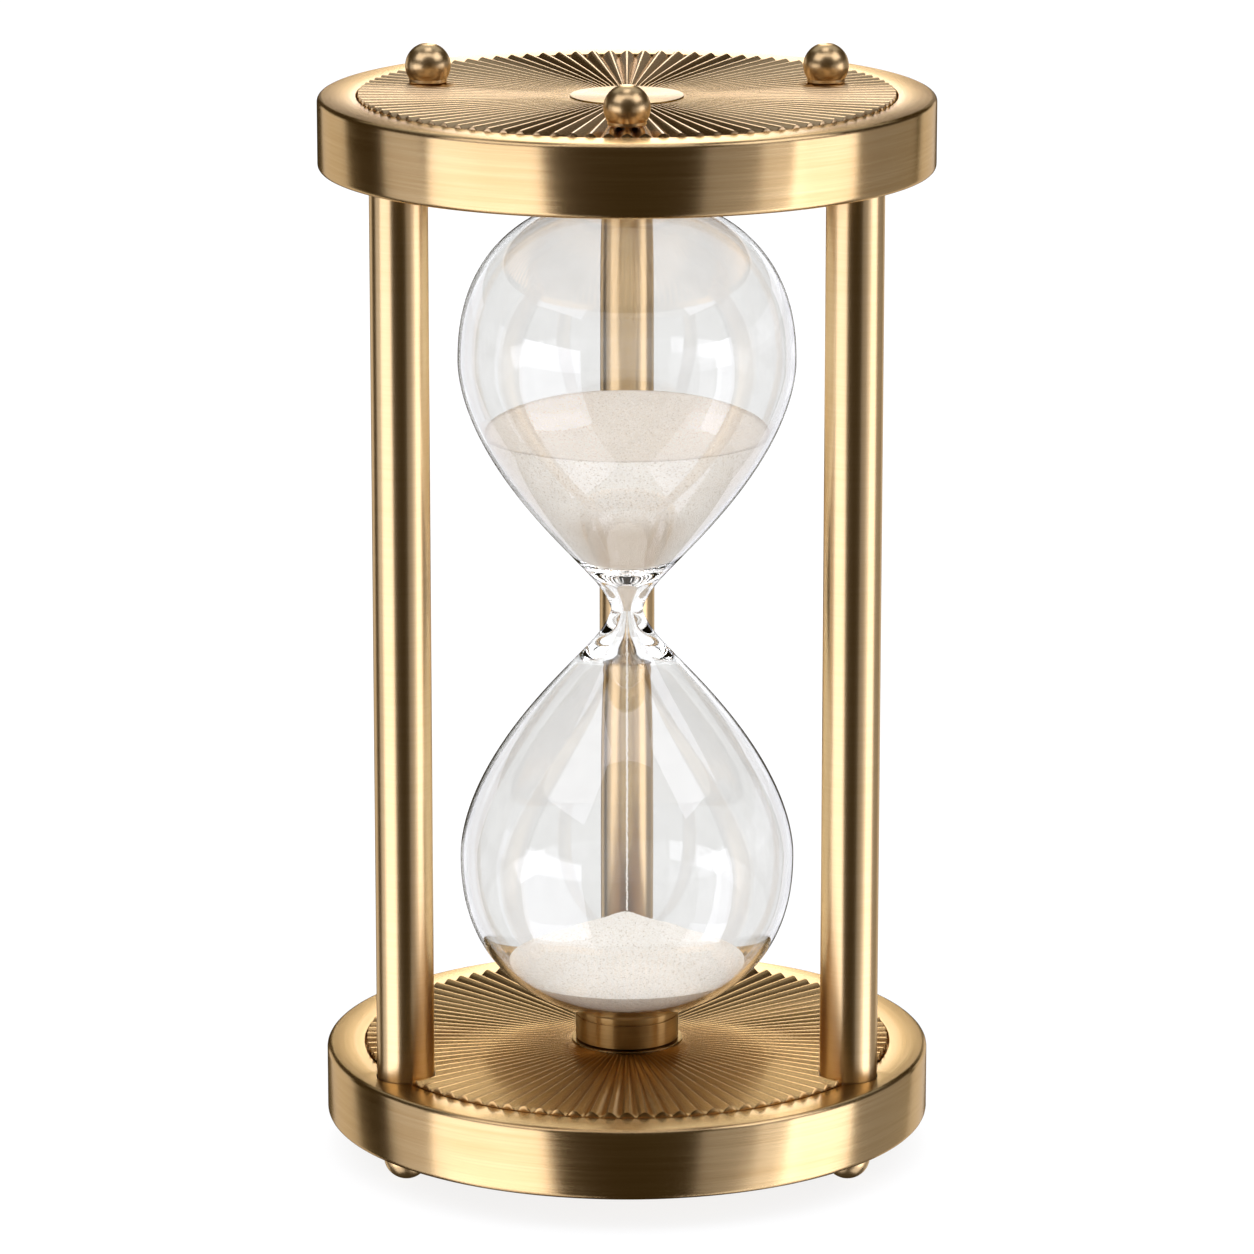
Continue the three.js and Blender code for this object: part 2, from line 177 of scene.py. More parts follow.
class Tree:
    """Builds nodes in one tree: every node goes through node()."""

    def __init__(self, tree: bpy.types.NodeTree) -> None:
        """Starts on an existing tree.

        Args:
            tree: The tree that gets the nodes.
        """
        self.tree = tree

    def node(self, kind: str, settings: dict[str, Any], sockets: dict[str | int, Any]) -> bpy.types.Node:
        """Makes one node, sets its settings and then fills its sockets.

        Args:
            kind: The node's type, such as ShaderNodeMath.
            settings: Its own settings.
            sockets: A value or a Wire for each input, by name or by number.

        Returns:
            The node.
        """
        made = self.tree.nodes.new(kind)
        for name, value in settings.items():
            setattr(made, name, value)
        for key, value in sockets.items():
            if isinstance(value, Wire):
                self.tree.links.new(value.socket, made.inputs[key])
            elif value is not None:
                made.inputs[key].default_value = value
        return made

    def wire(
        self, kind: str, sockets: dict[str | int, Any], output: str | int = 0,
        settings: "dict[str, Any] | None" = None,
    ) -> Wire:
        """Makes one node and takes one of its outputs.

        Args:
            kind: The node's type.
            sockets: A value or a Wire for each input, by name or by number.
            output: The output, by name or by number.
            settings: The node's own settings.

        Returns:
            The output's wire.
        """
        return Wire(self, self.node(kind, settings or {}, sockets).outputs[output])

    def math(self, operation: str, *values: "Wire | float") -> Wire:
        """One maths node.

        Args:
            operation: Its operation.
            *values: Its inputs in order.

        Returns:
            Its result.
        """
        return self.wire("ShaderNodeMath", dict(enumerate(values)), settings={"operation": operation})

    def vector(self, x: "Wire | float", y: "Wire | float", z: "Wire | float") -> Wire:
        """A vector from its three parts."""
        return self.wire("ShaderNodeCombineXYZ", {"X": x, "Y": y, "Z": z})

    def split(self, vector: Wire) -> tuple[Wire, Wire, Wire]:
        """The three parts of a vector."""
        made = self.node("ShaderNodeSeparateXYZ", {}, {"Vector": vector})
        return tuple(Wire(self, made.outputs[axis]) for axis in "XYZ")

    def reach(self, x: Wire, y: Wire) -> Wire:
        """How far a point is from the vertical axis."""
        return self.math("SQRT", x * x + y * y)


class ShaderTree(Tree):
    """A material's tree, from object coordinates to the surface."""

    def __init__(self, name: str) -> None:
        """Makes an empty material.

        Args:
            name: The material's name.
        """
        self.material = bpy.data.materials.new(name)
        self.material.use_nodes = True
        super().__init__(self.material.node_tree)
        self.tree.nodes.clear()

    def place(self, centre: Sequence[float] = (0.0, 0.0, 0.0)) -> Wire:
        """Object coordinates measured from a centre.

        Args:
            centre: The point that becomes the origin, in metres.

        Returns:
            The moved coordinates.
        """
        return self.wire("ShaderNodeMapping", {
            "Vector": self.wire("ShaderNodeTexCoord", {}, "Object"),
            "Location": [-value for value in centre],
        })

    def noise(self, vector: Wire, scale: float, detail: float = 2.0, fourth: "Wire | None" = None) -> Wire:
        """Smooth noise between 0 and 1.

        Args:
            vector: Where it is read.
            scale: How fine it is, per metre.
            detail: How many finer layers are added.
            fourth: A fourth coordinate, or None for plain 3-D noise.

        Returns:
            The noise.
        """
        settings = {"noise_dimensions": "4D" if fourth else "3D"}
        sockets = {"Vector": vector, "Scale": scale, "Detail": detail}
        if fourth:
            sockets["W"] = fourth
        return self.wire("ShaderNodeTexNoise", sockets, "Fac", settings)

    def cells(self, vector: Wire, scale: float) -> tuple[Wire, Wire]:
        """Round cells, such as grains.

        Args:
            vector: Where they are read.
            scale: Cells per metre.

        Returns:
            The distance from each cell's centre, and the cell's own random colour.
        """
        made = self.node("ShaderNodeTexVoronoi", {}, {"Vector": vector, "Scale": scale})
        return Wire(self, made.outputs["Distance"]), Wire(self, made.outputs["Color"])

    def blend(self, factor: "Wire | float", first: "Wire | Colour", second: "Wire | Colour") -> Wire:
        """Mixes two colours.

        Args:
            factor: 0 gives the first and 1 the second.
            first: A colour.
            second: A colour.

        Returns:
            The mixed colour.
        """
        def full(colour: "Wire | Colour") -> Any:
            """A fixed colour with its alpha, or the wire as it is."""
            return colour if isinstance(colour, Wire) else (*colour, 1.0)

        sockets = {0: factor, 6: full(first), 7: full(second)}
        return self.wire("ShaderNodeMix", sockets, 2, {"data_type": "RGBA"})

    def bump(self, height: Wire, depth: float) -> Wire:
        """A bumped normal.

        Args:
            height: The height, from 0 to 1.
            depth: What a height of 1 stands for, in metres.

        Returns:
            The normal.
        """
        return self.wire("ShaderNodeBump", {"Height": height, "Distance": depth, "Strength": 1.0})

    def finish(self, sockets: dict[str, Any]) -> bpy.types.Material:
        """Adds the surface shader and the output.

        Args:
            sockets: The surface's values and wires by socket name.

        Returns:
            The finished material.
        """
        surface = self.wire("ShaderNodeBsdfPrincipled", sockets)
        self.node("ShaderNodeOutputMaterial", {}, {"Surface": surface})
        return self.material


class GeometryTree(Tree):
    """A geometry tree with named inputs, run once on an object and turned into a plain mesh."""

    def __init__(self, name: str) -> None:
        """Makes an empty tree with a geometry input and output.

        Args:
            name: The tree's name.
        """
        super().__init__(bpy.data.node_groups.new(name, "GeometryNodeTree"))
        self.values: dict[str, Any] = {}
        for way in ("INPUT", "OUTPUT"):
            self.tree.interface.new_socket("Geometry", in_out=way, socket_type="NodeSocketGeometry")
        self.entry = self.tree.nodes.new("NodeGroupInput")

    def input(self, name: str, kind: str, value: Any) -> Wire:
        """Adds a named input.

        Args:
            name: The input's name.
            kind: Float, Int or Material.
            value: What it is set to.

        Returns:
            The input's wire.
        """
        socket = self.tree.interface.new_socket(name, in_out="INPUT", socket_type=f"NodeSocket{kind}")
        self.values[socket.identifier] = value
        return Wire(self, self.entry.outputs[name])

    def geometry(self) -> Wire:
        """The mesh that the tree is run on."""
        return Wire(self, self.entry.outputs["Geometry"])

    def position(self) -> tuple[Wire, Wire, Wire]:
        """The three coordinates of each point."""
        return self.split(self.wire("GeometryNodeInputPosition", {}))

    def index(self) -> Wire:
        """The number of each point."""
        return self.wire("GeometryNodeInputIndex", {})

    def random(self, low: float, high: float, seed: Wire) -> Wire:
        """A random number for each point."""
        sockets = {2: low, 3: high, "Seed": seed}
        return self.wire("FunctionNodeRandomValue", sockets, 1, {"data_type": "FLOAT"})

    def random_vector(self, low: Sequence[float], high: Sequence[float], seed: Wire) -> Wire:
        """A random vector for each point."""
        sockets = {0: low, 1: high, "Seed": seed}
        return self.wire("FunctionNodeRandomValue", sockets, 0, {"data_type": "FLOAT_VECTOR"})

    def grains(self, points: Wire, radius: Wire, **placing: Wire) -> Wire:
        """Puts a grain of sand on every point.

        Args:
            points: The points.
            radius: The grains' radius.
            **placing: The grains' Rotation or Scale at each point.

        Returns:
            The instances.
        """
        grain = self.wire("GeometryNodeMeshIcoSphere", {"Radius": radius, "Subdivisions": 1}, "Mesh")
        return self.spread(points, grain, **placing)

    def spread(self, points: Wire, shape: Wire, **placing: Wire) -> Wire:
        """Puts a shape on every point.

        Args:
            points: The points.
            shape: The shape.
            **placing: Its Rotation or Scale at each point.

        Returns:
            The instances.
        """
        sockets = {"Points": points, "Instance": shape, **placing}
        return self.wire("GeometryNodeInstanceOnPoints", sockets)

    def join(self, first: Wire, second: Wire) -> Wire:
        """Two shapes as one.

        Args:
            first: A shape.
            second: Another shape.

        Returns:
            Both of them.
        """
        joined = self.node("GeometryNodeJoinGeometry", {}, {0: first})
        self.tree.links.new(second.socket, joined.inputs[0])
        return Wire(self, joined.outputs[0])

    def end(self, shape: Wire, material: Wire, patch: "tuple[Wire, Wire] | None" = None) -> None:
        """Makes the instances real, sets the material and ends the tree.

        Args:
            shape: The whole shape.
            material: The material input.
            patch: Which faces have a material of their own, and that material.
        """
        real = self.wire("GeometryNodeRealizeInstances", {0: shape})
        smooth = self.wire("GeometryNodeSetShadeSmooth", {"Geometry": real})
        dressed = self.wire("GeometryNodeSetMaterial", {"Geometry": smooth, "Material": material})
        if patch:
            chosen, own = patch
            sockets = {"Geometry": dressed, "Selection": chosen, "Material": own}
            dressed = self.wire("GeometryNodeSetMaterial", sockets)
        self.node("NodeGroupOutput", {}, {0: dressed})

    def run(self, piece: bpy.types.Object) -> None:
        """Runs the tree on a piece and keeps the result as its plain mesh.

        Args:
            piece: The piece, whose mesh is the tree's geometry input.
        """
        modifier = piece.modifiers.new(self.tree.name, "NODES")
        modifier.node_group = self.tree
        for identifier, value in self.values.items():
            modifier[identifier] = value
        keep_result(piece)


# ---------------------------------------------------------------------------- mesh helpers
def keep_result(piece: bpy.types.Object) -> None:
    """Turns a piece and its modifiers into one plain mesh without modifiers.

    Args:
        piece: The piece.
    """
    bpy.context.view_layer.update()
    evaluated = piece.evaluated_get(bpy.context.evaluated_depsgraph_get())
    baked = bpy.data.meshes.new_from_object(evaluated)
    piece.modifiers.clear()
    piece.data = baked


def add_piece(
    name: str, mesh: bpy.types.Mesh, material: "bpy.types.Material | None" = None,
) -> bpy.types.Object:
    """Puts a mesh in the scene as an object at the origin.

    Args:
        name: The object's name.
        mesh: Its mesh.
        material: Its material, if the mesh has none yet.

    Returns:
        The object.
    """
    piece = bpy.data.objects.new(name, mesh)
    if material:
        mesh.materials.append(material)
    bpy.context.collection.objects.link(piece)
    return piece


def soften(mesh: bpy.types.Mesh, angle: float = 32.0) -> None:
    """Shades a mesh smoothly, apart from edges sharper than an angle.

    Args:
        mesh: The mesh.
        angle: The limit in degrees.
    """
    mesh.polygons.foreach_set("use_smooth", [True] * len(mesh.polygons))
    mesh.set_sharp_from_angle(angle=math.radians(angle))


def steps(start: float, end: float, count: int) -> list[float]:
    """Evenly spaced values with both ends included.

    Args:
        start: The first value.
        end: The last value.
        count: How many steps lie between them.

    Returns:
        The count + 1 values.
    """
    return [start + (end - start) * index / count for index in range(count + 1)]


def rounded(corners: Sequence[tuple[float, float, float]], arc_steps: int = 5) -> Profile:
    """Rounds the corners of a turned outline.

    Args:
        corners: (radius, height, rounding) for each corner, in order.
        arc_steps: Steps in each rounded corner.

    Returns:
        The outline's points.
    """
    points: Profile = []
    count = len(corners)
    for index, (radius, height, rounding) in enumerate(corners):
        here = Vector((radius, height))
        if rounding <= 0:
            points.append((here.x, here.y))
            continue
        before = (Vector(corners[index - 1][:2]) - here).normalized()
        after = (Vector(corners[(index + 1) % count][:2]) - here).normalized()
        half = before.angle(after) / 2
        start, end = here + before * rounding / math.tan(half), here + after * rounding / math.tan(half)
        middle = here + (before + after).normalized() * rounding / math.sin(half)
        first, last = (start - middle).normalized(), (end - middle).normalized()
        for t in steps(0, 1, arc_steps):
            spoke = middle + first.slerp(last, t, first) * rounding
            points.append((spoke.x, spoke.y))
    return points


def add_turned(
    form: bmesh.types.BMesh, profile: Profile, segments: int, centre: Sequence[float] = (0, 0),
    closes: bool = False,
) -> None:
    """Adds the surface that an outline sweeps out about a vertical axis.

    Args:
        form: The form that gets the surface.
        profile: (radius, height) points.
        segments: Steps round the axis.
        centre: Where the axis stands.
        closes: Whether the last point is joined to the first.
    """
    angles = [TURN * index / segments for index in range(segments)]
    rings = []
    for radius, height in profile:
        if radius < ON_AXIS:
            rings.append([form.verts.new((centre[0], centre[1], height))])
            continue
        rings.append([
            form.verts.new((centre[0] + radius * math.cos(a), centre[1] + radius * math.sin(a), height))
            for a in angles
        ])
    pairs = list(zip(rings, rings[1:]))
    if closes:
        pairs.append((rings[-1], rings[0]))
    for low, high in pairs:
        for index in range(segments):
            after = (index + 1) % segments
            corners = [
                low[index % len(low)], low[after % len(low)],
                high[after % len(high)], high[index % len(high)],
            ]
            form.faces.new(dict.fromkeys(corners))


def mesh_from(form: bmesh.types.BMesh, name: str) -> bpy.types.Mesh:
    """Turns a form into a mesh, and frees the form.

    Args:
        form: The form.
        name: The mesh's name.

    Returns:
        The mesh.
    """
    mesh = bpy.data.meshes.new(name)
    form.to_mesh(mesh)
    form.free()
    return mesh


def turned_mesh(
    name: str, profile: Profile, segments: int, centre: Sequence[float] = (0, 0),
) -> bpy.types.Mesh:
    """Turns an outline about a vertical axis into a closed mesh.

    Args:
        name: The mesh's name.
        profile: (radius, height) points. It starts and ends on the axis, or it closes on itself.
        segments: Steps round the axis.
        centre: Where the axis stands.

    Returns:
        The mesh, with its faces outwards.
    """
    form = bmesh.new()
    on_axis = profile[0][0] < ON_AXIS and profile[-1][0] < ON_AXIS
    add_turned(form, profile, segments, centre, closes=not on_axis)
    bmesh.ops.recalc_face_normals(form, faces=form.faces)
    mesh = mesh_from(form, name)
    soften(mesh)
    return mesh


def carve(piece: bpy.types.Object, tools: Iterable[bpy.types.Mesh]) -> None:
    """Cuts holes in a piece.

    Args:
        piece: The piece.
        tools: Closed meshes, each of which is cut away and then removed.
    """
    cutters = [add_piece("cutter", tool) for tool in tools]
    for cutter in cutters:
        cut = piece.modifiers.new("cut", "BOOLEAN")
        cut.operation = "DIFFERENCE"
        cut.solver = "MANIFOLD"
        cut.object = cutter
    keep_result(piece)
    for cutter in cutters:
        bpy.data.objects.remove(cutter)
    soften(piece.data)


def stand_in(piece: bpy.types.Object, node: str) -> None:
    """Ties a finished piece to the frame and reports it.

    Args:
        piece: The piece.
        node: The CAD node that it stands for.
    """
    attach(piece, BODY)
    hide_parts(node)
    LOG.info("%-24s %6d faces for %s", piece.name, len(piece.data.polygons), node)


@dataclass(frozen=True)
class Extent:
    """The place of a CAD node, from its box."""

    low: Vector
    high: Vector

    @classmethod
    def of(cls, node: str) -> "Extent":
        """The extent of a node by its name."""
        low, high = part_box(node)
        return cls(Vector(low), Vector(high))

    @property
    def radius(self) -> float:
        """Half its width."""
        return (self.high.x - self.low.x) / 2

    @property
    def centre(self) -> Vector:
        """Its middle."""
        return (self.low + self.high) / 2

    def ends(self, direction: int) -> tuple[float, float]:
        """The heights where it starts and ends, going up (1) or down (-1)."""
        return (self.low.z, self.high.z) if direction > 0 else (self.high.z, self.low.z)

    def cutter(self, gap: float, low: float, high: float, segments: int) -> bpy.types.Mesh:
        """The rod that cuts a round hole for the node.

        Args:
            gap: The clearance round the node.
            low: The height at which the rod starts.
            high: The height at which it ends.
            segments: Steps round the axis.

        Returns:
            The rod.
        """
        radius = self.radius + gap
        profile = [(0, low), (radius, low), (radius, high), (0, high)]
        return turned_mesh("hole", profile, segments, self.centre)


# ---------------------------------------------------------------------------- finishes
@dataclass(frozen=True)
class Brass:
    """Brushed golden brass under a thin lacquer."""

    name: str
    light: Colour = tone(228, 198, 148)
    dark: Colour = tone(206, 170, 116)
    edge: Colour = (0.95, 0.8, 0.55)  # tint at a grazing angle
    roughness: float = 0.26
    uneven: float = 0.1
    anisotropy: float = 0.85
    brush: Brush = Brush.ROUND
    line_pitch: float = 0.3 * MM
    line_depth: float = 0.004 * MM
    streaks: float = 3.0  # how fast the lines change along their length
    ray_spread: float = 40.0 * MM  # radius at which a disc's rays are a line's pitch apart
    ray_stretch: float = 0.02  # how fast a ray changes along its length
    patch_scale: float = 22.0  # uneven patches per metre
    tone_range: tuple[float, float] = (0.38, 0.92)  # mixed noise that gives the dark and the light tone
    lacquer: float = 0.15
    lacquer_roughness: float = 0.12
    flutes: int = 0
    # painted shade in the flutes' valleys
    groove: Colour = tone(182, 148, 102)

    def material(self, centre: Sequence[float] = (0.0, 0.0, 0.0)) -> bpy.types.Material:
        """Builds the material for a piece turned about a vertical axis.

        Args:
            centre: A point on the axis.

        Returns:
            The material.
        """
        shader = ShaderTree(self.name)
        x, y, z = shader.split(shader.place(centre))
        radius = shader.reach(x, y) + 0.01 * MM
        across, ahead = x / radius, y / radius
        if self.brush is Brush.RADIAL:
            wide, slow = self.ray_spread, self.ray_stretch
            along = shader.vector(across * wide, ahead * wide, radius * slow)
            fourth = z * slow
        else:
            spin = self.line_pitch * self.streaks
            along = shader.vector(radius, z, across * spin)
            fourth = ahead * spin
        fine = shader.noise(along, 1 / self.line_pitch, 3.0, fourth)
        broad = shader.noise(along, 0.3 / self.line_pitch, 2.0, fourth)
        patches = shader.noise(shader.place(), self.patch_scale, 3.0)
        mix = (fine * 0.45 + broad * 0.35 + patches * 0.5).ramp(*self.tone_range)
        colour = shader.blend(mix, self.dark, self.light)
        # Painted shade: the flutes' valleys take the darker groove colour.
        if self.flutes:
            angle = shader.math("ARCTAN2", y, x)
            crest = (angle * float(self.flutes)).cosine() * 0.5 + 0.5
            colour = shader.blend(crest.ramp(0.0, 0.35), self.groove, colour)
        rough = self.roughness - self.uneven / 2 + fine * self.uneven
        return shader.finish({
            "Base Color": colour,
            "Metallic": 1.0,
            "Specular Tint": (*self.edge, 1.0),
            "Roughness": rough,
            "Anisotropic": self.anisotropy,
            "Anisotropic Rotation": self.brush.value,
            "Coat Weight": self.lacquer,
            "Coat Roughness": self.lacquer_roughness,
            "Normal": shader.bump(fine, self.line_depth),
        })


@dataclass(frozen=True)
class ClearGlass:
    """Clear blown glass with a faint haze and the slight waves of hand work."""

    name: str
    clear: Colour = (0.89, 0.887, 0.875)
    tint: Colour = (0.86, 0.857, 0.845)
    index: float = 1.5
    wave_scale: float = 38.0  # waves per metre
    wave_depth: float = 0.05 * MM
    haze_scale: float = 160.0  # hazy patches per metre
    haze_roughness: float = 0.012
    polish: float = 0.4  # weight of the smooth coat
    polish_roughness: float = 0.01

    def material(self) -> bpy.types.Material:
        """Builds the material."""
        shader = ShaderTree(self.name)
        place = shader.place()
        waves = shader.noise(place, self.wave_scale, 1.0)
        haze = shader.noise(place, self.haze_scale, 4.0)
        return shader.finish({
            "Base Color": shader.blend(haze.ramp(0.3, 0.8), self.clear, self.tint),
            "Roughness": haze * self.haze_roughness,
            "Transmission Weight": 1.0,
            "IOR": self.index,
            "Coat Weight": self.polish,
            "Coat IOR": self.index,
            "Coat Roughness": self.polish_roughness,
            "Normal": shader.bump(waves, self.wave_depth),
        })


@dataclass(frozen=True)
class PaleSand:
    """Fine washed sand: white grains with a few cream and grey ones, under a painted glow."""

    name: str
    white: Colour = tone(253, 249, 244)
    cream: Colour = tone(243, 234, 222)
    grey: Colour = tone(216, 206, 194)
    cream_range: tuple[float, float] = (0.45, 1.1)  # mixed noise that gives white and cream
    grey_range: tuple[float, float] = (0.9, 0.97)  # random value from which a grain is grey
    painted_centre_shade: Colour = tone(205, 188, 168)  # painted shade: darker colour in a cone over the neck
    painted_top_light: Colour = (2.3, 2.2, 2.05)  # painted light: a glow where light falls in from above
    grain: float = 0.24 * MM
    grain_bump: float = 0.12 * MM
    drift_scale: float = 90.0  # patches of one shade per metre
    painted_glow_strength: float = 0.13  # painted glow: emission that brightens every grain as if lit
    funnel: "float | None" = None  # height of the neck under a charge that drains from its middle
    painted_shade_flare: float = 0.7  # how fast the painted shade's cone widens upwards
    wall_flare: float = 0.56  # how fast the bulb widens where the charge's top lies
    wall_start: float = 8.8 * MM  # its radius there, followed down to the neck at that rate
    painted_shade_rise: tuple[float, float] = (20 * MM, 27 * MM)  # heights over the neck where the painted shade fades out
    painted_light_rise: tuple[float, float] = (28 * MM, 30 * MM)
    painted_light_margin: tuple[float, float] = (0.4 * MM, 1.6 * MM)  # distances from the wall

    def material(self) -> bpy.types.Material:
        """Builds the material."""
        shader = ShaderTree(self.name)
        place = shader.place()
        distance, own = shader.cells(place, 1 / self.grain)
        shade, speck, _ = shader.split(own)
        drift = shader.noise(place, self.drift_scale, 3.0)
        mix = (shade * 0.7 + drift * 0.5).ramp(*self.cream_range)
        colour = shader.blend(mix, self.white, self.cream)
        colour = shader.blend(speck.ramp(*self.grey_range), colour, self.grey)
        glow = colour
        if self.funnel is not None:
            # Painted shade: a darker cone of sand over the neck.
            x, y, z = shader.split(place)
            rise = z - self.funnel
            width = shader.math("ABSOLUTE", x) / (rise * self.painted_shade_flare + 1 * MM)
            painted_shade_cone = (1.0 - width.ramp(0.4, 1.0)) * (1.0 - rise.ramp(*self.painted_shade_rise))
            colour = shader.blend(painted_shade_cone * 0.7, colour, self.painted_centre_shade)
            # Painted light: a glow on the top away from the wall, where light falls in from above.
            off_wall = rise * self.wall_flare + self.wall_start - shader.reach(x, y)
            painted_light_mask = off_wall.ramp(*self.painted_light_margin) * rise.ramp(*self.painted_light_rise)
            glow = shader.blend(painted_light_mask, colour, self.painted_top_light)
        dome = 1.0 - distance.least(1.0)
        # The emission is painted light: a glow in the grains' own colour, brighter still on the painted lit
        # top.
        return shader.finish({
            "Base Color": colour,
            "Roughness": shade * 0.2 + 0.7,
            "Emission Color": glow,
            "Emission Strength": self.painted_glow_strength,
            "Normal": shader.bump(dome, self.grain_bump),
        })


@dataclass(frozen=True)
class Cork:
    """Fine pressed cork with dark flecks."""

    name: str
    body: Colour = tone(196, 156, 112)
    shaded: Colour = tone(170, 128, 86)
    fleck: Colour = tone(112, 78, 48)
    crumbs: float = 1100.0  # crumbs of cork per metre
    crumb_bump: float = 0.12 * MM

    def material(self) -> bpy.types.Material:
        """Builds the material."""
        shader = ShaderTree(self.name)
        place = shader.place()
        distance, own = shader.cells(place, self.crumbs)
        shade, speck, _ = shader.split(own)
        colour = shader.blend(shade * 0.5, self.body, self.shaded)
        colour = shader.blend(speck.ramp(0.75, 0.9), colour, self.fleck)
        return shader.finish({
            "Base Color": colour,
            "Roughness": shade * 0.15 + 0.8,
            "Normal": shader.bump(distance, self.crumb_bump),
        })


@dataclass(frozen=True)
class MachinedSteel:
    """Turned steel, as on the hidden screws and studs."""

    name: str
    light: Colour = tone(190, 190, 188)
    dark: Colour = tone(136, 137, 138)
    line_scale: float = 4200.0  # turned lines per metre
    line_depth: float = 0.01 * MM
    patch_scale: float = 600.0

    def material(self) -> bpy.types.Material:
        """Builds the material."""
        shader = ShaderTree(self.name)
        _, _, z = shader.split(shader.place())
        lines = shader.noise(shader.vector(0.0, 0.0, z), self.line_scale, 2.0)
        patches = shader.noise(shader.place(), self.patch_scale, 3.0)
        return shader.finish({
            "Base Color": shader.blend((lines + patches) * 0.5, self.dark, self.light),
            "Metallic": 1.0,
            "Roughness": patches * 0.2 + 0.22,
            "Normal": shader.bump(lines, self.line_depth),
        })


# ---------------------------------------------------------------------------- plates and discs
@dataclass
class EndPlate:
    """One turned brass plate, with a recess on each face for a sunray disc."""

    side: Side
    recess_radius: float = 56.8 * MM
    recess_depth: float = 2.2 * MM
    edge_round: float = 1.1 * MM
    lip_round: float = 0.25 * MM
    seat_gap: float = COLUMN_GAP
    segments: int = 360

    def profile(self, place: Extent) -> Profile:
        """The plate's outline.

        Args:
            place: The plate's extent.

        Returns:
            The outline, which starts and ends on the axis.
        """
        low, high, radius = place.low.z, place.high.z, place.radius
        recess, depth = self.recess_radius, self.recess_depth
        return rounded([
            (0, low + depth, 0),
            (recess, low + depth, 0),
            (recess, low, self.lip_round),
            (radius, low, self.edge_round),
            (radius, high, self.edge_round),
            (recess, high, self.lip_round),
            (recess, high - depth, 0),
            (0, high - depth, 0),
        ])

    def build(self, columns: Sequence[Extent], finish: Brass) -> None:
        """Makes the plate and cuts the seats of the columns in it.

        Args:
            columns: The extents of the three columns.
            finish: The plate's finish.
        """
        node = f"{self.side.word}_plate"
        place = Extent.of(node)
        mesh = turned_mesh(node, self.profile(place), self.segments)
        plate = add_piece(f"{node}_turned", mesh, finish.material())
        carve(plate, [
            column.cutter(self.seat_gap, column.low.z, column.high.z, 96) for column in columns
        ])
        stand_in(plate, node)


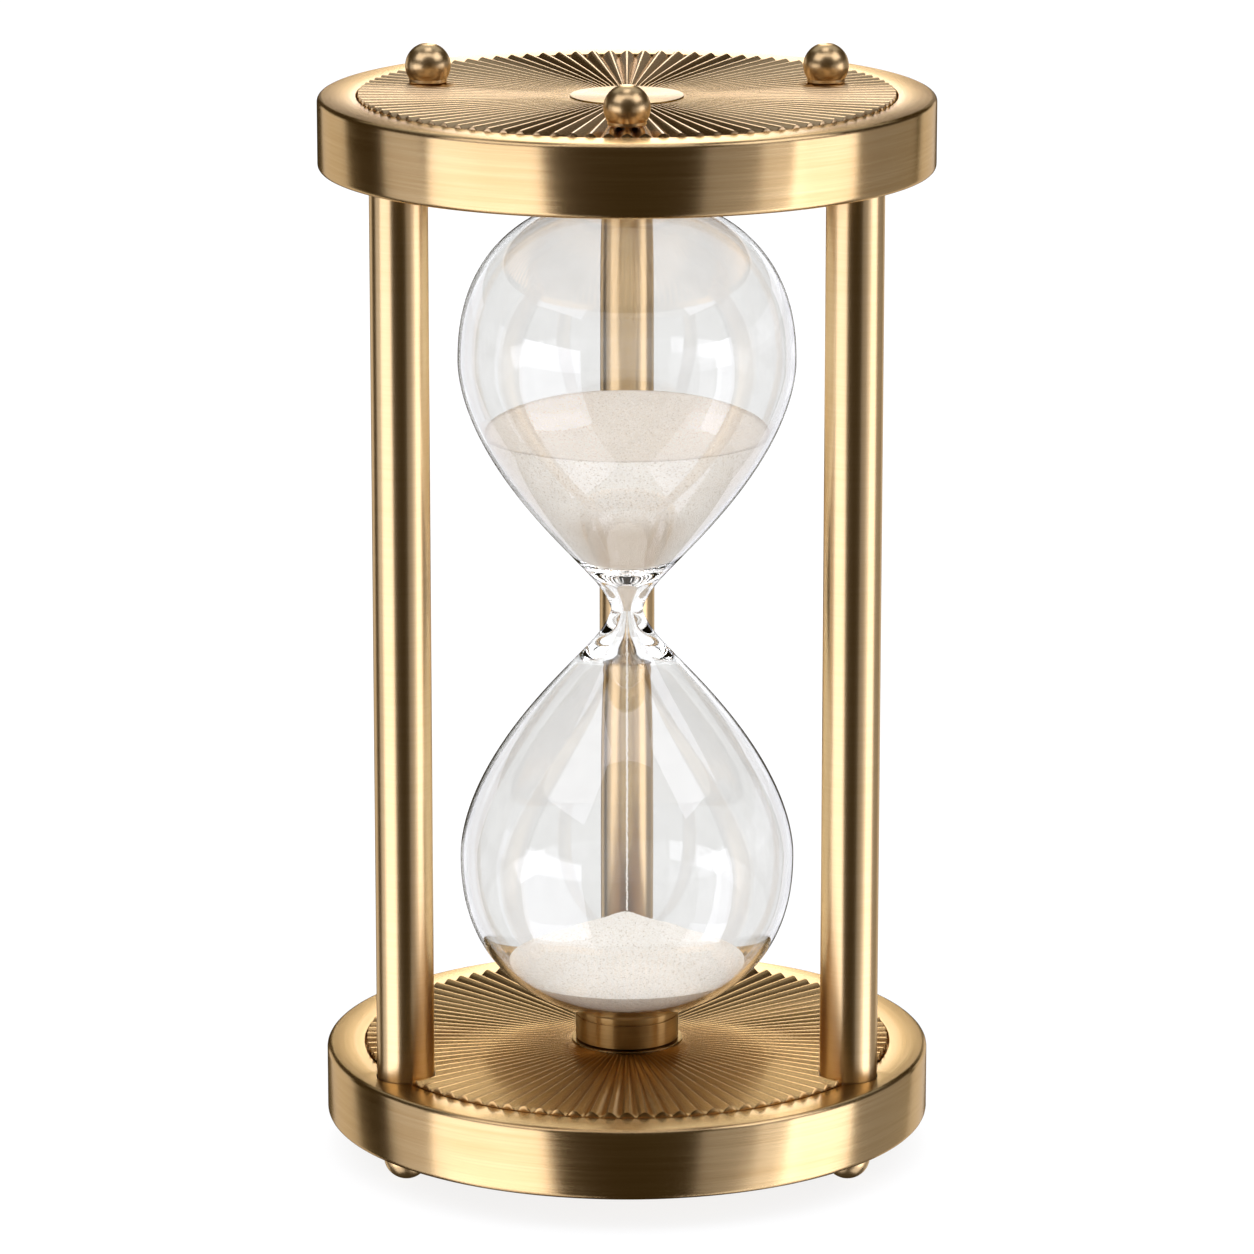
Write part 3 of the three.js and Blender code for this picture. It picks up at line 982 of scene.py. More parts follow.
@dataclass
class SunrayDisc:
    """A pressed brass disc whose flutes fan out from a plain hub."""

    node: str
    faces_up: bool
    thickness: float = 1.9 * MM
    hub_radius: float = 12.0 * MM
    hub_height: float = 0.3 * MM
    flute_height: float = 1.2 * MM
    flute_count: int = 96
    crease: float = 0.55  # 1 for round flutes, less for sharper crests
    fill: float = 0.55 * MM  # how much further it reaches into its recess than the CAD shape
    across: int = 10  # faces across a flute
    rings: int = 14  # and along it
    weld: float = 0.004 * MM
    hub_round: float = 0.12 * MM
    rim_draw: float = 0.12 * MM  # how far the flutes' outer ends are drawn in

    def body_profile(self, radius: float) -> tuple[Profile, Profile]:
        """The disc without its flutes: underside, edge and hub.

        Args:
            radius: The disc's radius.

        Returns:
            The outline from the axis below to the edge, and from the hub to the axis above.
        """
        top = self.thickness + self.hub_height
        return [(0, 0), (radius, 0), (radius, self.thickness)], rounded([
            (self.hub_radius, self.thickness, 0),
            (self.hub_radius, top, self.hub_round),
            (0, top, 0),
        ])

    def body_mesh(self, radius: float) -> bpy.types.Mesh:
        """Builds the open body that the flutes close.

        Args:
            radius: The disc's radius.

        Returns:
            The mesh.
        """
        form = bmesh.new()
        for outline in self.body_profile(radius):
            add_turned(form, outline, self.flute_count * self.across)
        return mesh_from(form, self.node)

    def flute_tree(
        self, radius: float, material: bpy.types.Material, hub_material: bpy.types.Material,
    ) -> GeometryTree:
        """The tree that repeats one flute round the hub.

        Args:
            radius: The disc's radius.
            material: The flutes' material.
            hub_material: The hub's material.

        Returns:
            The tree, ready to run.
        """
        tree = GeometryTree(f"{self.node}_flutes")
        count = tree.input("Flute Count", "Int", self.flute_count)
        outer = tree.input("Outer Radius", "Float", radius)
        hub = tree.input("Hub Radius", "Float", self.hub_radius)
        valley = tree.input("Valley Height", "Float", self.thickness)
        rise = tree.input("Flute Height", "Float", self.flute_height)
        dress = tree.input("Material", "Material", material)
        hub_dress = tree.input("Hub Material", "Material", hub_material)
        last = self.rings + 2
        grid = tree.wire("GeometryNodeMeshGrid", {
            "Size X": 1.0, "Size Y": 1.0, "Vertices X": last + 1, "Vertices Y": self.across + 1,
        }, "Mesh")
        along, across, _ = tree.position()
        row = (along + 0.5) * float(last)
        edge = (row - float(self.rings)).ramp(0.0, 1.0)
        share = (row / float(self.rings)).least(1.0)
        drawn_in = (1.0 - edge) * share ** 60.0 * self.rim_draw
        distance = hub + (outer - hub) * share - drawn_in
        pleat = (across * math.pi).cosine()
        crest = pleat * self.crease + pleat * pleat * (1 - self.crease)
        fade = row.ramp(0.0, 1.0) * (1.0 - (row - float(self.rings)).ramp(-0.01, 2.0))
        height = valley + rise * (distance / outer) * crest * fade
        angle = across * TURN / count
        flute = tree.wire("GeometryNodeSetPosition", {
            "Geometry": grid,
            "Position": tree.vector(distance * angle.cosine(), distance * angle.sine(), height),
        })
        points = tree.wire("GeometryNodePoints", {"Count": count})
        turns = tree.vector(0.0, 0.0, tree.index() * TURN / count)
        flutes = tree.wire("GeometryNodeRealizeInstances", {0: tree.spread(points, flute, Rotation=turns)})
        merged = tree.wire("GeometryNodeMergeByDistance", {
            "Geometry": tree.join(tree.geometry(), flutes), "Distance": self.weld,
        })
        aside, ahead, up = tree.position()
        in_hub = tree.math("LESS_THAN", tree.reach(aside, ahead), hub + 0.02 * MM)
        on_hub = in_hub * tree.math("GREATER_THAN", up, valley * 0.99)
        tree.end(merged, dress, (on_hub, hub_dress))
        return tree

    def build(self, finish: Brass, hub_finish: Brass, holes: Sequence[tuple[Extent, float]]) -> None:
        """Makes the disc and cuts its notches.

        Args:
            finish: The flutes' finish.
            hub_finish: The hub's finish.
            holes: The extent of each piece that passes through, and the clearance round it.
        """
        place = Extent.of(self.node)
        radius = place.radius + self.fill
        disc = add_piece(f"{self.node}_fluted", self.body_mesh(radius))
        self.flute_tree(radius, finish.material(), hub_finish.material()).run(disc)
        turn = Matrix.Identity(4) if self.faces_up else Matrix.Rotation(math.pi, 4, "X")
        base = place.low.z if self.faces_up else place.high.z
        disc.data.transform(Matrix.Translation((0, 0, base)) @ turn)
        point_outwards(disc.data)
        low, high = place.low.z - 2 * MM, place.high.z + 2 * MM
        carve(disc, [hole.cutter(gap, low, high, 72) for hole, gap in holes])
        soften(disc.data, 28)
        stand_in(disc, self.node)


def point_outwards(mesh: bpy.types.Mesh) -> None:
    """Turns the faces of a closed mesh outwards.

    Args:
        mesh: The mesh.
    """
    form = bmesh.new()
    form.from_mesh(mesh)
    bmesh.ops.recalc_face_normals(form, faces=form.faces)
    form.to_mesh(mesh)
    form.free()


# ---------------------------------------------------------------------------- columns, balls, collars
@dataclass
class Column:
    """A plain brass rod between the plates."""

    name: str
    chamfer: float = 0.35 * MM
    segments: int = 128

    @property
    def place(self) -> Extent:
        """The extent of the column."""
        return Extent.of(f"column_{self.name}")

    def build(self) -> None:
        """Makes the rod."""
        place = self.place
        corners = [
            (0, place.low.z, 0),
            (place.radius, place.low.z, self.chamfer),
            (place.radius, place.high.z, self.chamfer),
            (0, place.high.z, 0),
        ]
        finish = Brass(
            f"column_brass_{self.name}", roughness=0.28, uneven=0.02, anisotropy=0.5, streaks=1.0,
            line_depth=0.0004 * MM, light=tone(230, 200, 152), dark=tone(222, 190, 140),
        )
        mesh = turned_mesh(f"column_{self.name}", rounded(corners, 4), self.segments, place.centre)
        rod = add_piece(f"column_{self.name}_rod", mesh, finish.material(place.centre))
        stand_in(rod, f"column_{self.name}")


@dataclass
class Ball:
    """A brass ball with a flat base, used as a foot below and as a finial above."""

    node: str
    side: Side
    ball_rise: float = 2.7 * MM
    ball_tip: float = 4.6 * MM
    sink: float = 0.8 * MM  # how far a finial's base reaches down into the flutes
    base_round: float = 0.2 * MM
    segments: int = 96

    def build(self) -> None:
        """Makes the ball."""
        place = Extent.of(self.node)
        out = self.side.value
        far, tip = place.ends(out)
        middle = tip - out * self.ball_tip
        base = middle - out * self.ball_rise
        seat = base - out * (self.sink if out > 0 else 0)
        radius = place.radius
        start = -math.asin(self.ball_rise / radius)
        end = math.asin(self.ball_tip / radius)
        round_part = [
            (radius * math.cos(angle), middle + out * radius * math.sin(angle))
            for angle in steps(start, end, 48)
        ]
        foot = round_part[0][0]
        spigot = [(0, far), (foot - self.base_round, far)] if abs(far - base) > MM else [(0, seat)]
        neck = [(foot - self.base_round, seat), (foot, seat + out * self.base_round)]
        profile = [*spigot, *neck, *round_part, (0, tip)]
        mesh = turned_mesh(self.node, profile, self.segments, place.centre)
        finish = Brass(
            f"{self.node}_brass", roughness=0.3, uneven=0.02, anisotropy=0.0, streaks=1.0,
            line_depth=0.0005 * MM, light=tone(228, 198, 150), dark=tone(216, 182, 130),
        )
        ball = add_piece(f"{self.node}_ball", mesh, finish.material(place.centre))
        stand_in(ball, self.node)


@dataclass
class Collar:
    """The cup that holds one end of the glass, with its cork ring."""

    side: Side
    bore: float = 9.5 * MM
    floor: float = 2.0 * MM
    groove_drop: float = 1.15 * MM
    groove_width: float = 0.4 * MM
    groove_depth: float = 0.4 * MM
    edge_round: float = 0.12 * MM
    ring_bore: float = 4.4 * MM
    ring_dish: float = 0.7 * MM
    ring_edge: float = 0.1 * MM
    ring_lip: float = 0.3 * MM
    segments: int = 192

    def build(self, finish: Brass, cork: bpy.types.Material) -> None:
        """Makes the collar and its cork ring.

        Args:
            finish: The collar's finish.
            cork: The ring's material.
        """
        node = f"{self.side.word}_collar"
        place = Extent.of(node)
        into = -self.side.value
        base, lip = place.ends(into)
        radius = place.radius
        groove = lip - into * self.groove_drop
        corners = [
            (0, base, 0),
            (radius, base, self.edge_round),
            (radius, groove - into * self.groove_width, 0),
            (radius - self.groove_depth, groove - into * self.groove_width, 0),
            (radius - self.groove_depth, groove, 0),
            (radius, groove, 0),
            (radius, lip, self.edge_round),
            (self.bore, lip, self.edge_round),
            (self.bore, base + into * self.floor, 0),
            (0, base + into * self.floor, 0),
        ]
        mesh = turned_mesh(node, rounded(corners, 4), self.segments)
        collar = add_piece(f"{node}_cup", mesh, finish.material())
        stand_in(collar, node)
        self._build_ring(into, cork)

    def _build_ring(self, into: int, cork: bpy.types.Material) -> None:
        """Makes the dished cork ring under the glass.

        Args:
            into: The direction towards the glass.
            cork: The ring's material.
        """
        node = f"{self.side.word}_cushion"
        place = Extent.of(node)
        base, lip = place.ends(into)
        corners = [
            (self.ring_bore, base, self.ring_edge),
            (place.radius, base, self.ring_edge),
            (place.radius, lip, self.ring_lip),
            (self.ring_bore, lip - into * self.ring_dish, self.ring_lip),
        ]
        ring = add_piece(f"{node}_ring", turned_mesh(node, rounded(corners, 5), 96), cork)
        stand_in(ring, node)


# ---------------------------------------------------------------------------- glass and sand
@dataclass(frozen=True)
class BulbShape:
    """The profile of both bulbs, by the distance from the neck."""

    widest: float = 35.6 * MM
    height: float = 54.0 * MM  # distance from the neck to the widest place
    taper: float = 52.0 * MM
    taper_power: float = 1.75
    crown: float = 34.9 * MM
    crown_power: float = 2.28
    neck_core: float = 1.7 * MM
    neck_blend: float = 6.2 * MM
    wall: float = 1.2 * MM
    neck_reach: float = 9.0 * MM  # how far the thick glass goes from the neck
    neck_edge: float = 6.0  # how sharply it ends
    orifice: float = 0.8 * MM
    channel_slope: float = 0.33
    stub_radius: float = 4.0 * MM
    stub_bore: float = 2.4 * MM
    stub_length: float = 2.9 * MM

    @staticmethod
    def soft_max(first: float, second: float, blend: float) -> float:
        """The larger of two values, blended where they cross."""
        return 0.5 * (first + second + math.hypot(first - second, blend))

    def _taper(self, height: float) -> float:
        """The radius of the bulb's tapering half, without the neck."""
        along = (self.height - height) / self.taper
        return self.widest * (1 - along ** self.taper_power)

    def _crown(self, height: float, widest: float, rise: float) -> float:
        """The radius of the bulb's rounded half."""
        along = min((height - self.height) / rise, 1)
        return widest * (1 - along ** self.crown_power) ** (1 / self.crown_power)

    def outer(self, height: float) -> float:
        """The outer wall.

        Args:
            height: The distance from the neck.

        Returns:
            The radius there.
        """
        widest = self.soft_max(self.widest, self.neck_core, self.neck_blend)
        if height > self.height:
            return self._crown(height, widest, self.crown)
        return self.soft_max(self._taper(height), self.neck_core, self.neck_blend)

    def inner(self, height: float) -> float:
        """The inner wall: a thin wall, and a narrow channel in the thick glass round the neck.

        Args:
            height: The distance from the neck.

        Returns:
            The radius there.
        """
        if height > self.height:
            return self._crown(height, self.outer(self.height) - self.wall, self.crown - self.wall)
        gathered = math.exp(-((height / self.neck_reach) ** self.neck_edge))
        channel = math.hypot(self.orifice, self.channel_slope * height)
        return (self.outer(height) - self.wall) * (1 - gathered) + channel * gathered

    def heights(self, radius_at: Callable[[float], float], rise: float, end_radius: float) -> list[float]:
        """Distances from the neck that follow a wall closely, up to a radius near its pole.

        Args:
            radius_at: The wall's radius by distance.
            rise: The crown's rise on that wall.
            end_radius: The radius at which the wall ends.

        Returns:
            The distances, from 0 upwards.
        """
        low = [self.height * t ** 1.4 for t in steps(0, 1, 72)]
        high = [self.height + rise * math.sin(t * math.pi / 2) for t in steps(0, 1, 72)[1:]]
        kept = [height for height in low + high if height <= self.height or radius_at(height) > end_radius]
        widest = radius_at(self.height)
        last = self.height + rise * (1 - (end_radius / widest) ** self.crown_power) ** (1 / self.crown_power)
        return [*kept, last]


@dataclass
class GlassVessel:
    """The one-piece blown glass, its stopper and the sand in it."""

    shape: BulbShape = field(default_factory=BulbShape)
    segments: int = 144
    sand_gap: float = 0.04 * MM
    upper_rim: float = 38.9 * MM
    upper_dish: float = 8.0 * MM
    upper_lift: float = 2.3 * MM
    lower_rim: float = 78.5 * MM
    lower_peak: float = 67.5 * MM
    swells: tuple[tuple[float, float], ...] = ((160, 0.5), (900, 0.12))  # per metre, height in mm
    grain_radius: float = 0.13 * MM
    grain_sizes: tuple[float, float] = (0.6, 1.25)  # share of that radius
    upper_density: float = 1.1e6  # grains per square metre
    lower_density: float = 1.3e6
    stub_edge: float = 0.3 * MM  # rounding of the filling stub's rim
    stub_cap: float = 1.0 * MM  # and of the closed stub's end
    stopper_gap: float = 0.15 * MM
    stopper_head: float = 0.6 * MM
    heap_tip: float = 2.2 * MM  # how blunt the heap's tip is
    heap_hollow: float = 0.94  # 1 for a straight slope, less for a hollow one
    stream_grains: int = 900
    stream_grain_radius: float = 0.17 * MM
    stream_spread: float = 0.16 * MM

    @property
    def neck(self) -> float:
        """The height of the neck in the frame."""
        return Extent.of("glass_vessel").centre.z

    def build_glass(self, glass: bpy.types.Material) -> None:
        """Makes the vessel: the lower stub is closed and the upper one is open.

        Args:
            glass: The glass material.
        """
        shape = self.shape
        end = shape.height + shape.crown + shape.stub_length
        pole = shape.height + shape.crown - shape.wall
        cap, edge = self.stub_cap, self.stub_edge
        outside = shape.heights(shape.outer, shape.crown, shape.stub_radius)
        inside = shape.heights(shape.inner, shape.crown - shape.wall, shape.stub_bore)
        closed = shape.heights(shape.inner, shape.crown - shape.wall, 0.2 * MM)

        def wall(below: list[float], above: list[float], radius_at: Callable[[float], float]) -> Profile:
            """A wall's points from the lowest to the highest."""
            places = [-height for height in reversed(below)] + above[1:]
            return [(radius_at(abs(place)), place) for place in places]

        profile = [
            (0, -end),
            *[(shape.stub_radius - cap + cap * math.sin(a), -end + cap - cap * math.cos(a))
              for a in steps(0, math.pi / 2, 6)],
            *wall(outside, outside, shape.outer),
            (shape.stub_radius, end - edge),
            (shape.stub_radius - edge, end),
            (shape.stub_bore + edge, end),
            (shape.stub_bore, end - edge),
            *reversed(wall(closed, inside, shape.inner)),
            (0, -pole),
        ]
        neck = self.neck
        mesh = turned_mesh("glass_vessel", [(r, z + neck) for r, z in profile], self.segments)
        soften(mesh, 60)
        vessel = add_piece("glass_vessel_blown", mesh, glass)
        stand_in(vessel, "glass_vessel")

    def build_stopper(self, cork: bpy.types.Material) -> None:
        """Makes the cork in the filling stub.

        Args:
            cork: The cork material.
        """
        place = Extent.of("stopper")
        bore = self.shape.stub_bore - self.stopper_gap
        low, high = place.low.z, place.high.z
        corners = [
            (0, low, 0),
            (bore - 0.3 * MM, low, 0.2 * MM),
            (bore, high - self.stopper_head, 0),
            (place.radius, high - self.stopper_head, 0.1 * MM),
            (place.radius, high, 0.2 * MM),
            (0, high, 0),
        ]
        plug = add_piece("stopper_cork", turned_mesh("stopper", rounded(corners, 4), 64), cork)
        stand_in(plug, "stopper")

    def _pile_up(self, mesh: bpy.types.Mesh, rim: float) -> None:
        """Lifts the far part of the upper charge's surface, so that it stands higher behind.

        Args:
            mesh: The charge's mesh.
            rim: The rim's radius.
        """
        shape, neck = self.shape, self.neck
        for vertex in mesh.vertices:
            point = vertex.co
            height = point.z - neck
            depth = self.upper_rim - height
            fade = max(0.0, 1 - depth / (2 * self.upper_dish))
            lift = self.upper_lift * max(0.0, point.y / rim) ** 1.5 * fade
            if lift > 0:
                grown = (shape.inner(height + lift) - self.sand_gap) / (shape.inner(height) - self.sand_gap)
                stretch = 1 + (grown - 1) * min(1.0, (math.hypot(point.x, point.y) / rim) ** 4)
                vertex.co = (point.x * stretch, point.y * stretch, point.z + lift)

    def _settle(self, mesh: bpy.types.Mesh, is_loose: Callable[[Vector], bool]) -> None:
        """Roughens the free surface of a sand mesh, as loose grains lie.

        Args:
            mesh: The sand's mesh.
            is_loose: Says whether a point lies on the free surface.
        """
        for vertex in mesh.vertices:
            point = vertex.co
            if is_loose(point):
                vertex.co.z += sum(noise.noise(point * scale) * size * MM for scale, size in self.swells)

    def _grain_tree(self, name: str, density: float, facing: float, sand: bpy.types.Material) -> GeometryTree:
        """The tree that scatters loose grains over the free surface.

        Args:
            name: The tree's name.
            density: Grains per square metre.
            facing: How far up a face has to point to carry grains.
            sand: The sand material.

        Returns:
            The tree, ready to run.
        """
        tree = GeometryTree(name)
        dense = tree.input("Grains per Area", "Float", density)
        size = tree.input("Grain Radius", "Float", self.grain_radius)
        seed = tree.input("Seed", "Int", 7)
        dress = tree.input("Material", "Material", sand)
        _, _, up = tree.split(tree.wire("GeometryNodeInputNormal", {}))
        settings = {"operation": "GREATER_THAN"}
        carries = tree.wire("FunctionNodeCompare", {0: up, 1: facing}, settings=settings)
        points = tree.wire("GeometryNodeDistributePointsOnFaces", {
            "Mesh": tree.geometry(), "Selection": carries, "Density": dense, "Seed": seed,
        }, "Points")
        scale = tree.random(*self.grain_sizes, seed)
        spin = tree.random_vector((0.0, 0.0, 0.0), (TURN, TURN, TURN), seed)
        grains = tree.grains(points, size, Rotation=spin, Scale=scale)
        tree.end(tree.join(tree.geometry(), grains), dress)
        return tree

    def build_upper_sand(self, sand: bpy.types.Material) -> None:
        """Makes the charge still to run, dished over the neck.

        Args:
            sand: The sand material.
        """
        shape, gap, neck = self.shape, self.sand_gap, self.neck
        wall = [(max(shape.inner(h) - gap, 0.3 * MM), h) for h in
                [self.upper_rim * t ** 1.3 for t in steps(0, 1, 60)][1:]]
        rim = wall[-1][0]
        dish = [(t * rim, self.upper_rim - self.upper_dish * math.cos(t * math.pi / 2) ** 2)
                for t in steps(1, 0, 64)[1:]]
        profile = [(0, wall[0][1]), *wall, *dish]
        mesh = turned_mesh("upper_sand", [(r, z + neck) for r, z in profile], self.segments)
        self._pile_up(mesh, rim)
        top = neck + self.upper_rim - self.upper_dish - MM
        self._settle(mesh, lambda p: p.z > top and math.hypot(p.x, p.y) < shape.inner(p.z - neck) - 0.8 * MM)
        soften(mesh, 70)
        charge = add_piece("upper_sand_charge", mesh)
        self._grain_tree("upper_grains", self.upper_density, 0.75, sand).run(charge)
        stand_in(charge, "upper_sand")

    def build_lower_sand(self, sand: bpy.types.Material) -> None:
        """Makes the heap that has run through.

        Args:
            sand: The sand material.
        """
        shape, gap, neck = self.shape, self.sand_gap, self.neck
        pole = shape.height + shape.crown - shape.wall - gap
        bowl = pole - self.lower_rim
        crown = [self.lower_rim + bowl * math.sin(t * math.pi / 2) for t in steps(1, 0, 40)]
        wall = [(max(shape.inner(h) - gap, 0), -h) for h in crown]
        rim = wall[-1][0]
        fall = self.lower_rim - self.lower_peak
        blunt = self.heap_tip
        whole = math.hypot(rim, blunt) - blunt
        cone = []
        for t in steps(1, 0, 64)[1:]:
            run = math.hypot(t * rim, blunt) - blunt
            cone.append((t * rim, -self.lower_peak - fall * (run / whole) ** self.heap_hollow))
        profile = [(0, -pole), *wall[1:], *cone]
        mesh = turned_mesh("lower_sand", [(r, z + neck) for r, z in profile], self.segments)
        base = neck - self.lower_rim - MM
        self._settle(mesh, lambda p: p.z > base and math.hypot(p.x, p.y) < rim - MM)
        soften(mesh, 70)
        heap = add_piece("lower_sand_heap", mesh)
        self._grain_tree("lower_grains", self.lower_density, 0.6, sand).run(heap)
        stand_in(heap, "lower_sand")

    def build_stream(self, sand: bpy.types.Material) -> None:
        """Makes the falling thread of grains.

        Args:
            sand: The sand material.
        """
        place = Extent.of("sand_stream")
        tree = GeometryTree("stream_grains")
        count = tree.input("Grain Count", "Int", self.stream_grains)
        size = tree.input("Grain Radius", "Float", self.stream_grain_radius)
        spread_by = tree.input("Spread", "Float", self.stream_spread)
        seed = tree.input("Seed", "Int", 3)
        dress = tree.input("Material", "Material", sand)
        share = tree.index() / count
        aside, ahead, _ = tree.split(tree.random_vector((-1.0, -1.0, -0.3), (1.0, 1.0, 0.3), seed))
        drop = place.low.z + 0.3 * MM + share * (place.high.z - place.low.z - 0.6 * MM)
        points = tree.wire("GeometryNodeSetPosition", {
            "Geometry": tree.wire("GeometryNodePoints", {"Count": count}),
            "Position": tree.vector(aside * spread_by, ahead * spread_by, drop),
        })
        tree.end(tree.grains(points, size, Scale=tree.random(0.7, 1.15, seed)), dress)
        stream = add_piece("sand_stream_grains", bpy.data.meshes.new("sand_stream"))
        tree.run(stream)
        stand_in(stream, "sand_stream")


# ---------------------------------------------------------------------------- studio
@dataclass(frozen=True)
class SoftBox:
    """A soft studio light that faces the timer."""

    name: str
    azimuth: float
    elevation: float
    distance: float
    width: float
    height: float
    brightness: float
    warmth: Colour = (1.0, 1.01, 1.14)
    see_through: bool = True

    def build(self, target: Vector) -> None:
        """Hangs the light.

        Args:
            target: The point that it faces.
        """
        turn, lift = math.radians(self.azimuth), math.radians(self.elevation)
        out = Vector((math.sin(turn) * math.cos(lift), -math.cos(turn) * math.cos(lift), math.sin(lift)))
        data = bpy.data.lights.new(self.name, "AREA")
        data.shape = "RECTANGLE"
        data.size, data.size_y = self.width, self.height
        data.energy = self.brightness * self.width * self.height * math.pi
        data.color = self.warmth
        light = bpy.data.objects.new(self.name, data)
        light.location = target + out * self.distance
        light.rotation_euler = out.to_track_quat("Z", "Y").to_euler()
        light.visible_camera = False
        light.visible_transmission = self.see_through
        bpy.context.collection.objects.link(light)


@dataclass
class Studio:
    """The floor, the lights and the camera."""

    floor_size: float = 30.0
    floor_light: float = 0.84
    room_light: float = 1.5
    drape_radius: float = 9.0
    drape_glow: Colour = (0.052, 0.037, 0.014)
    camera_back: float = 20.347  # in plate radii, from the timer's axis
    camera_height: float = 6.604  # in plate radii, over the lower plate's underside
    camera_tilt: float = 13.694
    lens: float = 182.75

    def build(self) -> None:
        """Sets up the whole studio."""
        plate = Extent.of("lower_plate")
        middle = Vector((0, 0, (CAD_BOX[0][2] + CAD_BOX[1][2]) / 2))
        self._build_floor()
        self._build_drape()
        self._build_room()
        cool = (0.8, 0.87, 1.0)
        for light in (
            SoftBox("left_softbox", -54, -15, 2.4, 2.1, 2.3, 1.9),
            SoftBox("left_edge", -90, -15, 2.4, 0.9, 2.3, 0.7),
            SoftBox("right_fill", 44, -15, 2.4, 1.4, 2.3, 0.33),
            SoftBox("right_step", 58, -15, 2.35, 0.7, 2.3, 0.6),
            SoftBox("right_softbox", 78, -15, 2.4, 1.3, 2.3, 2.1),
            SoftBox("right_edge", 114, -15, 2.4, 1.7, 2.3, 0.3),
            SoftBox("left_high", -56, 47, 2.4, 1.6, 1.3, 1.5, see_through=False),
            SoftBox("right_high", 70, 47, 2.4, 1.6, 1.3, 1.8, see_through=False),
            SoftBox("front_high", 0, 64, 2.4, 1.6, 0.7, 1.4, see_through=False),
            SoftBox("left_low", -54, -50, 2.4, 1.7, 1.7, 1.0),
            SoftBox("right_low", 68, -50, 2.4, 1.7, 1.7, 1.0),
            SoftBox("overhead", 180, 84, 2.2, 0.8, 0.8, 1.8, see_through=False),
            SoftBox("back_strip", 180, 37, 2.6, 0.85, 1.2, 1.8, see_through=False),
            SoftBox("back_low", 180, 19, 2.6, 0.26, 1.6, 2.8, see_through=False),
            SoftBox("back_wide", 176, 11, 2.7, 1.6, 0.85, 0.2, see_through=False),
            SoftBox("sky", 180, 58, 2.9, 4.0, 2.1, 0.6, cool, see_through=False),
            SoftBox("back_left", -140, -15, 2.5, 1.3, 2.3, 0.7, see_through=False),
            SoftBox("back_right", 150, -15, 2.5, 1.1, 2.3, 0.7, see_through=False),
        ):
            light.build(middle)
        self._build_camera(plate.radius, plate.low.z)

    def _build_floor(self) -> None:
        """Lays a plain pale floor that doesn't show in the brass."""
        half = self.floor_size / 2
        corners = [(-half, -half, 0), (half, -half, 0), (half, half, 0), (-half, half, 0)]
        mesh = bpy.data.meshes.new("floor")
        mesh.from_pydata(corners, [], [(0, 1, 2, 3)])
        shader = ShaderTree("pale_floor")
        drift = shader.noise(shader.place(), 1.5, 2.0)
        material = shader.finish({
            "Base Color": shader.blend(drift, (0.12, 0.12, 0.12), (0.14, 0.14, 0.14)),
            "Roughness": 0.9,
            "Specular IOR Level": 0.0,
            "Emission Color": (1.0, 1.0, 1.0, 1.0),
            "Emission Strength": self.floor_light,
        })
        floor = add_piece("floor", mesh, material)
        floor.visible_glossy = False
        floor.visible_shadow = False

    def _build_drape(self) -> None:
        """Hangs the dim warm drape round the studio that only the metal mirrors."""
        form = bmesh.new()
        bmesh.ops.create_icosphere(form, subdivisions=4, radius=self.drape_radius)
        mesh = mesh_from(form, "drape")
        shader = ShaderTree("dim_drape")
        folds = shader.noise(shader.place(), 0.4, 2.0)
        darker = tuple(value * 0.7 for value in self.drape_glow)
        material = shader.finish({
            "Base Color": (0.0, 0.0, 0.0, 1.0),
            "Specular IOR Level": 0.0,
            "Emission Color": shader.blend(folds, darker, self.drape_glow),
            "Emission Strength": 1.0,
        })
        drape = add_piece("drape", mesh, material)
        for ray in ("camera", "diffuse", "transmission", "volume_scatter", "shadow"):
            setattr(drape, f"visible_{ray}", False)

    def _build_room(self) -> None:
        """Gives the even light that falls on the sand, and lets light through many turns in the glass."""
        world = bpy.data.worlds.new("room")
        world.use_nodes = True
        background = world.node_tree.nodes["Background"]
        background.inputs["Color"].default_value = (0.95, 0.97, 1.0, 1.0)
        background.inputs["Strength"].default_value = self.room_light
        world.cycles_visibility.glossy = False
        scene = bpy.context.scene
        scene.world = world
        scene.cycles.max_bounces = 20
        scene.cycles.glossy_bounces = 10
        scene.cycles.transmission_bounces = 16
        scene.cycles.blur_glossy = 0.1

    def _build_camera(self, unit: float, base: float) -> None:
        """Places the camera.

        Args:
            unit: The plates' radius.
            base: The height of the lower plate's underside.
        """
        data = bpy.data.cameras.new("camera")
        data.lens = self.lens
        data.sensor_width = 36.0
        camera = bpy.data.objects.new("camera", data)
        camera.location = (0, -self.camera_back * unit, base + self.camera_height * unit)
        camera.rotation_euler = (math.radians(90 - self.camera_tilt), 0, 0)
        bpy.context.collection.objects.link(camera)
        bpy.context.scene.camera = camera
        bpy.context.scene.view_settings.view_transform = "Standard"


# ---------------------------------------------------------------------------- the whole timer
def dress_hidden_fixings() -> None:
    """Gives the screws and studs inside the timer their steel."""
    steel = MachinedSteel("machined_steel").material()
    for name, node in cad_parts.items():
        if "screw" in name or "stud" in name:
            for slot in node.material_slots:
                slot.material = steel
            LOG.info("%-24s keeps its CAD shape", name)


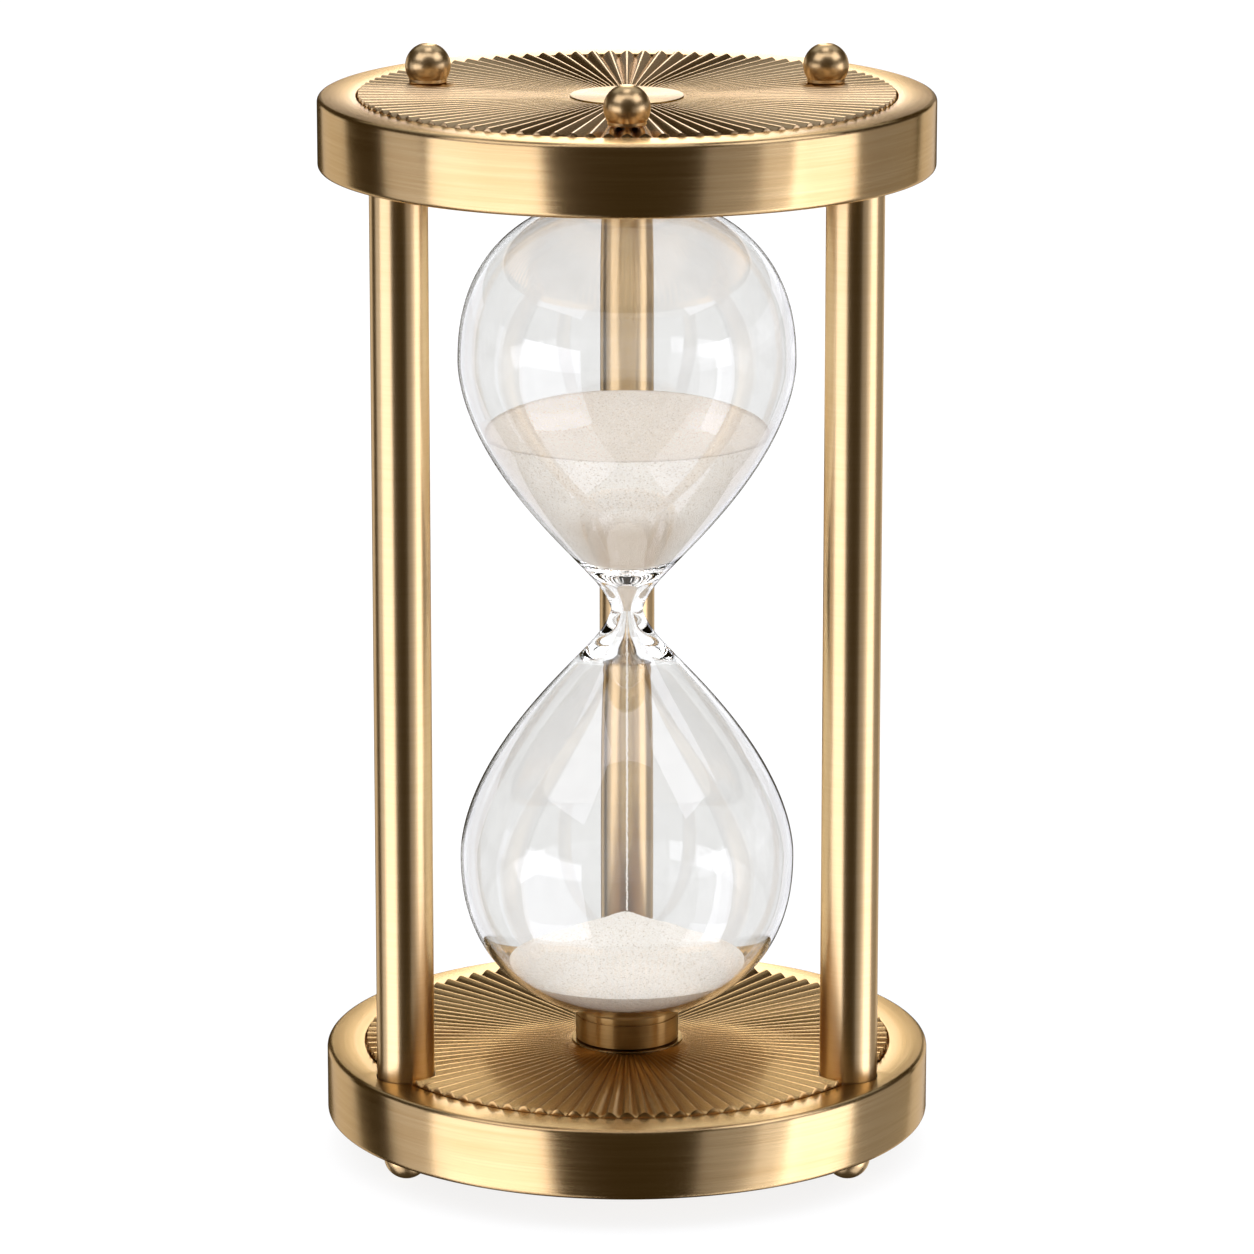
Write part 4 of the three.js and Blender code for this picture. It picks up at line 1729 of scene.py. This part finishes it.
def build_end(side: Side, columns: list[Extent], feet: list[Extent], cork: bpy.types.Material) -> None:
    """Builds one end of the timer: its plate, its two discs and its collar.

    Args:
        side: The end.
        columns: The extents of the three columns.
        feet: The extents of the three feet.
        cork: The material of the ring in the collar.
    """
    is_upper = side is Side.UPPER
    plate = Brass(f"{side.word}_plate_brass", roughness=0.24, anisotropy=0.9)
    # The upper disc's greyer tones and the lower disc's darker gold are painted reflection and shade on the
    # same brass.
    fluted = Brass(
        f"{side.word}_disc_brass", brush=Brush.RADIAL, flutes=96, anisotropy=0.4,
        roughness=0.25, uneven=0.05, line_depth=0.0015 * MM,
        light=tone(214, 186, 146) if is_upper else tone(208, 172, 118),
        dark=tone(192, 163, 123) if is_upper else tone(184, 148, 96),
    )
    hub = Brass(
        f"{side.word}_hub_brass", roughness=0.26, streaks=2.0,
        light=tone(176, 148, 104), dark=tone(136, 110, 70),
    )
    turned = Brass(
        f"{side.word}_collar_brass", roughness=0.38, uneven=0.02, anisotropy=0.97, streaks=1.0,
        light=tone(220, 182, 120), dark=tone(196, 156, 96),
    )
    EndPlate(side).build(columns, plate)
    inner = SunrayDisc(f"{side.word}_inner_disc", faces_up=not is_upper)
    inner.build(fluted, hub, [(column, COLUMN_GAP) for column in columns])
    outer = SunrayDisc(f"{side.word}_outer_disc", faces_up=is_upper, thickness=1.45 * MM)
    outer.build(fluted, hub, [] if is_upper else [(foot, FOOT_GAP) for foot in feet])
    Collar(side).build(turned, cork)


def main() -> None:
    """Builds the timer piece by piece and sets up the studio."""
    logging.basicConfig(level=logging.INFO, format="%(message)s")
    columns = [Column(name) for name in COLUMN_NAMES]
    column_places = [column.place for column in columns]
    cork = Cork("pressed_cork").material()
    sand = PaleSand("pale_sand").material()
    feet = [f"foot_{name}" for name in COLUMN_NAMES]
    finials = [f"finial_{name}" for name in ("front", "back_left", "back_right")]

    for side in Side:
        build_end(side, column_places, [Extent.of(foot) for foot in feet], cork)
    for column in columns:
        column.build()
    for node in feet:
        Ball(node, Side.LOWER).build()
    for node in finials:
        Ball(node, Side.UPPER).build()

    vessel = GlassVessel()
    vessel.build_glass(ClearGlass("blown_glass").material())
    vessel.build_stopper(cork)
    vessel.build_upper_sand(PaleSand("draining_sand", funnel=vessel.neck).material())
    vessel.build_lower_sand(sand)
    vessel.build_stream(sand)
    dress_hidden_fixings()
    Studio().build()


if __name__ == "__main__":
    main()
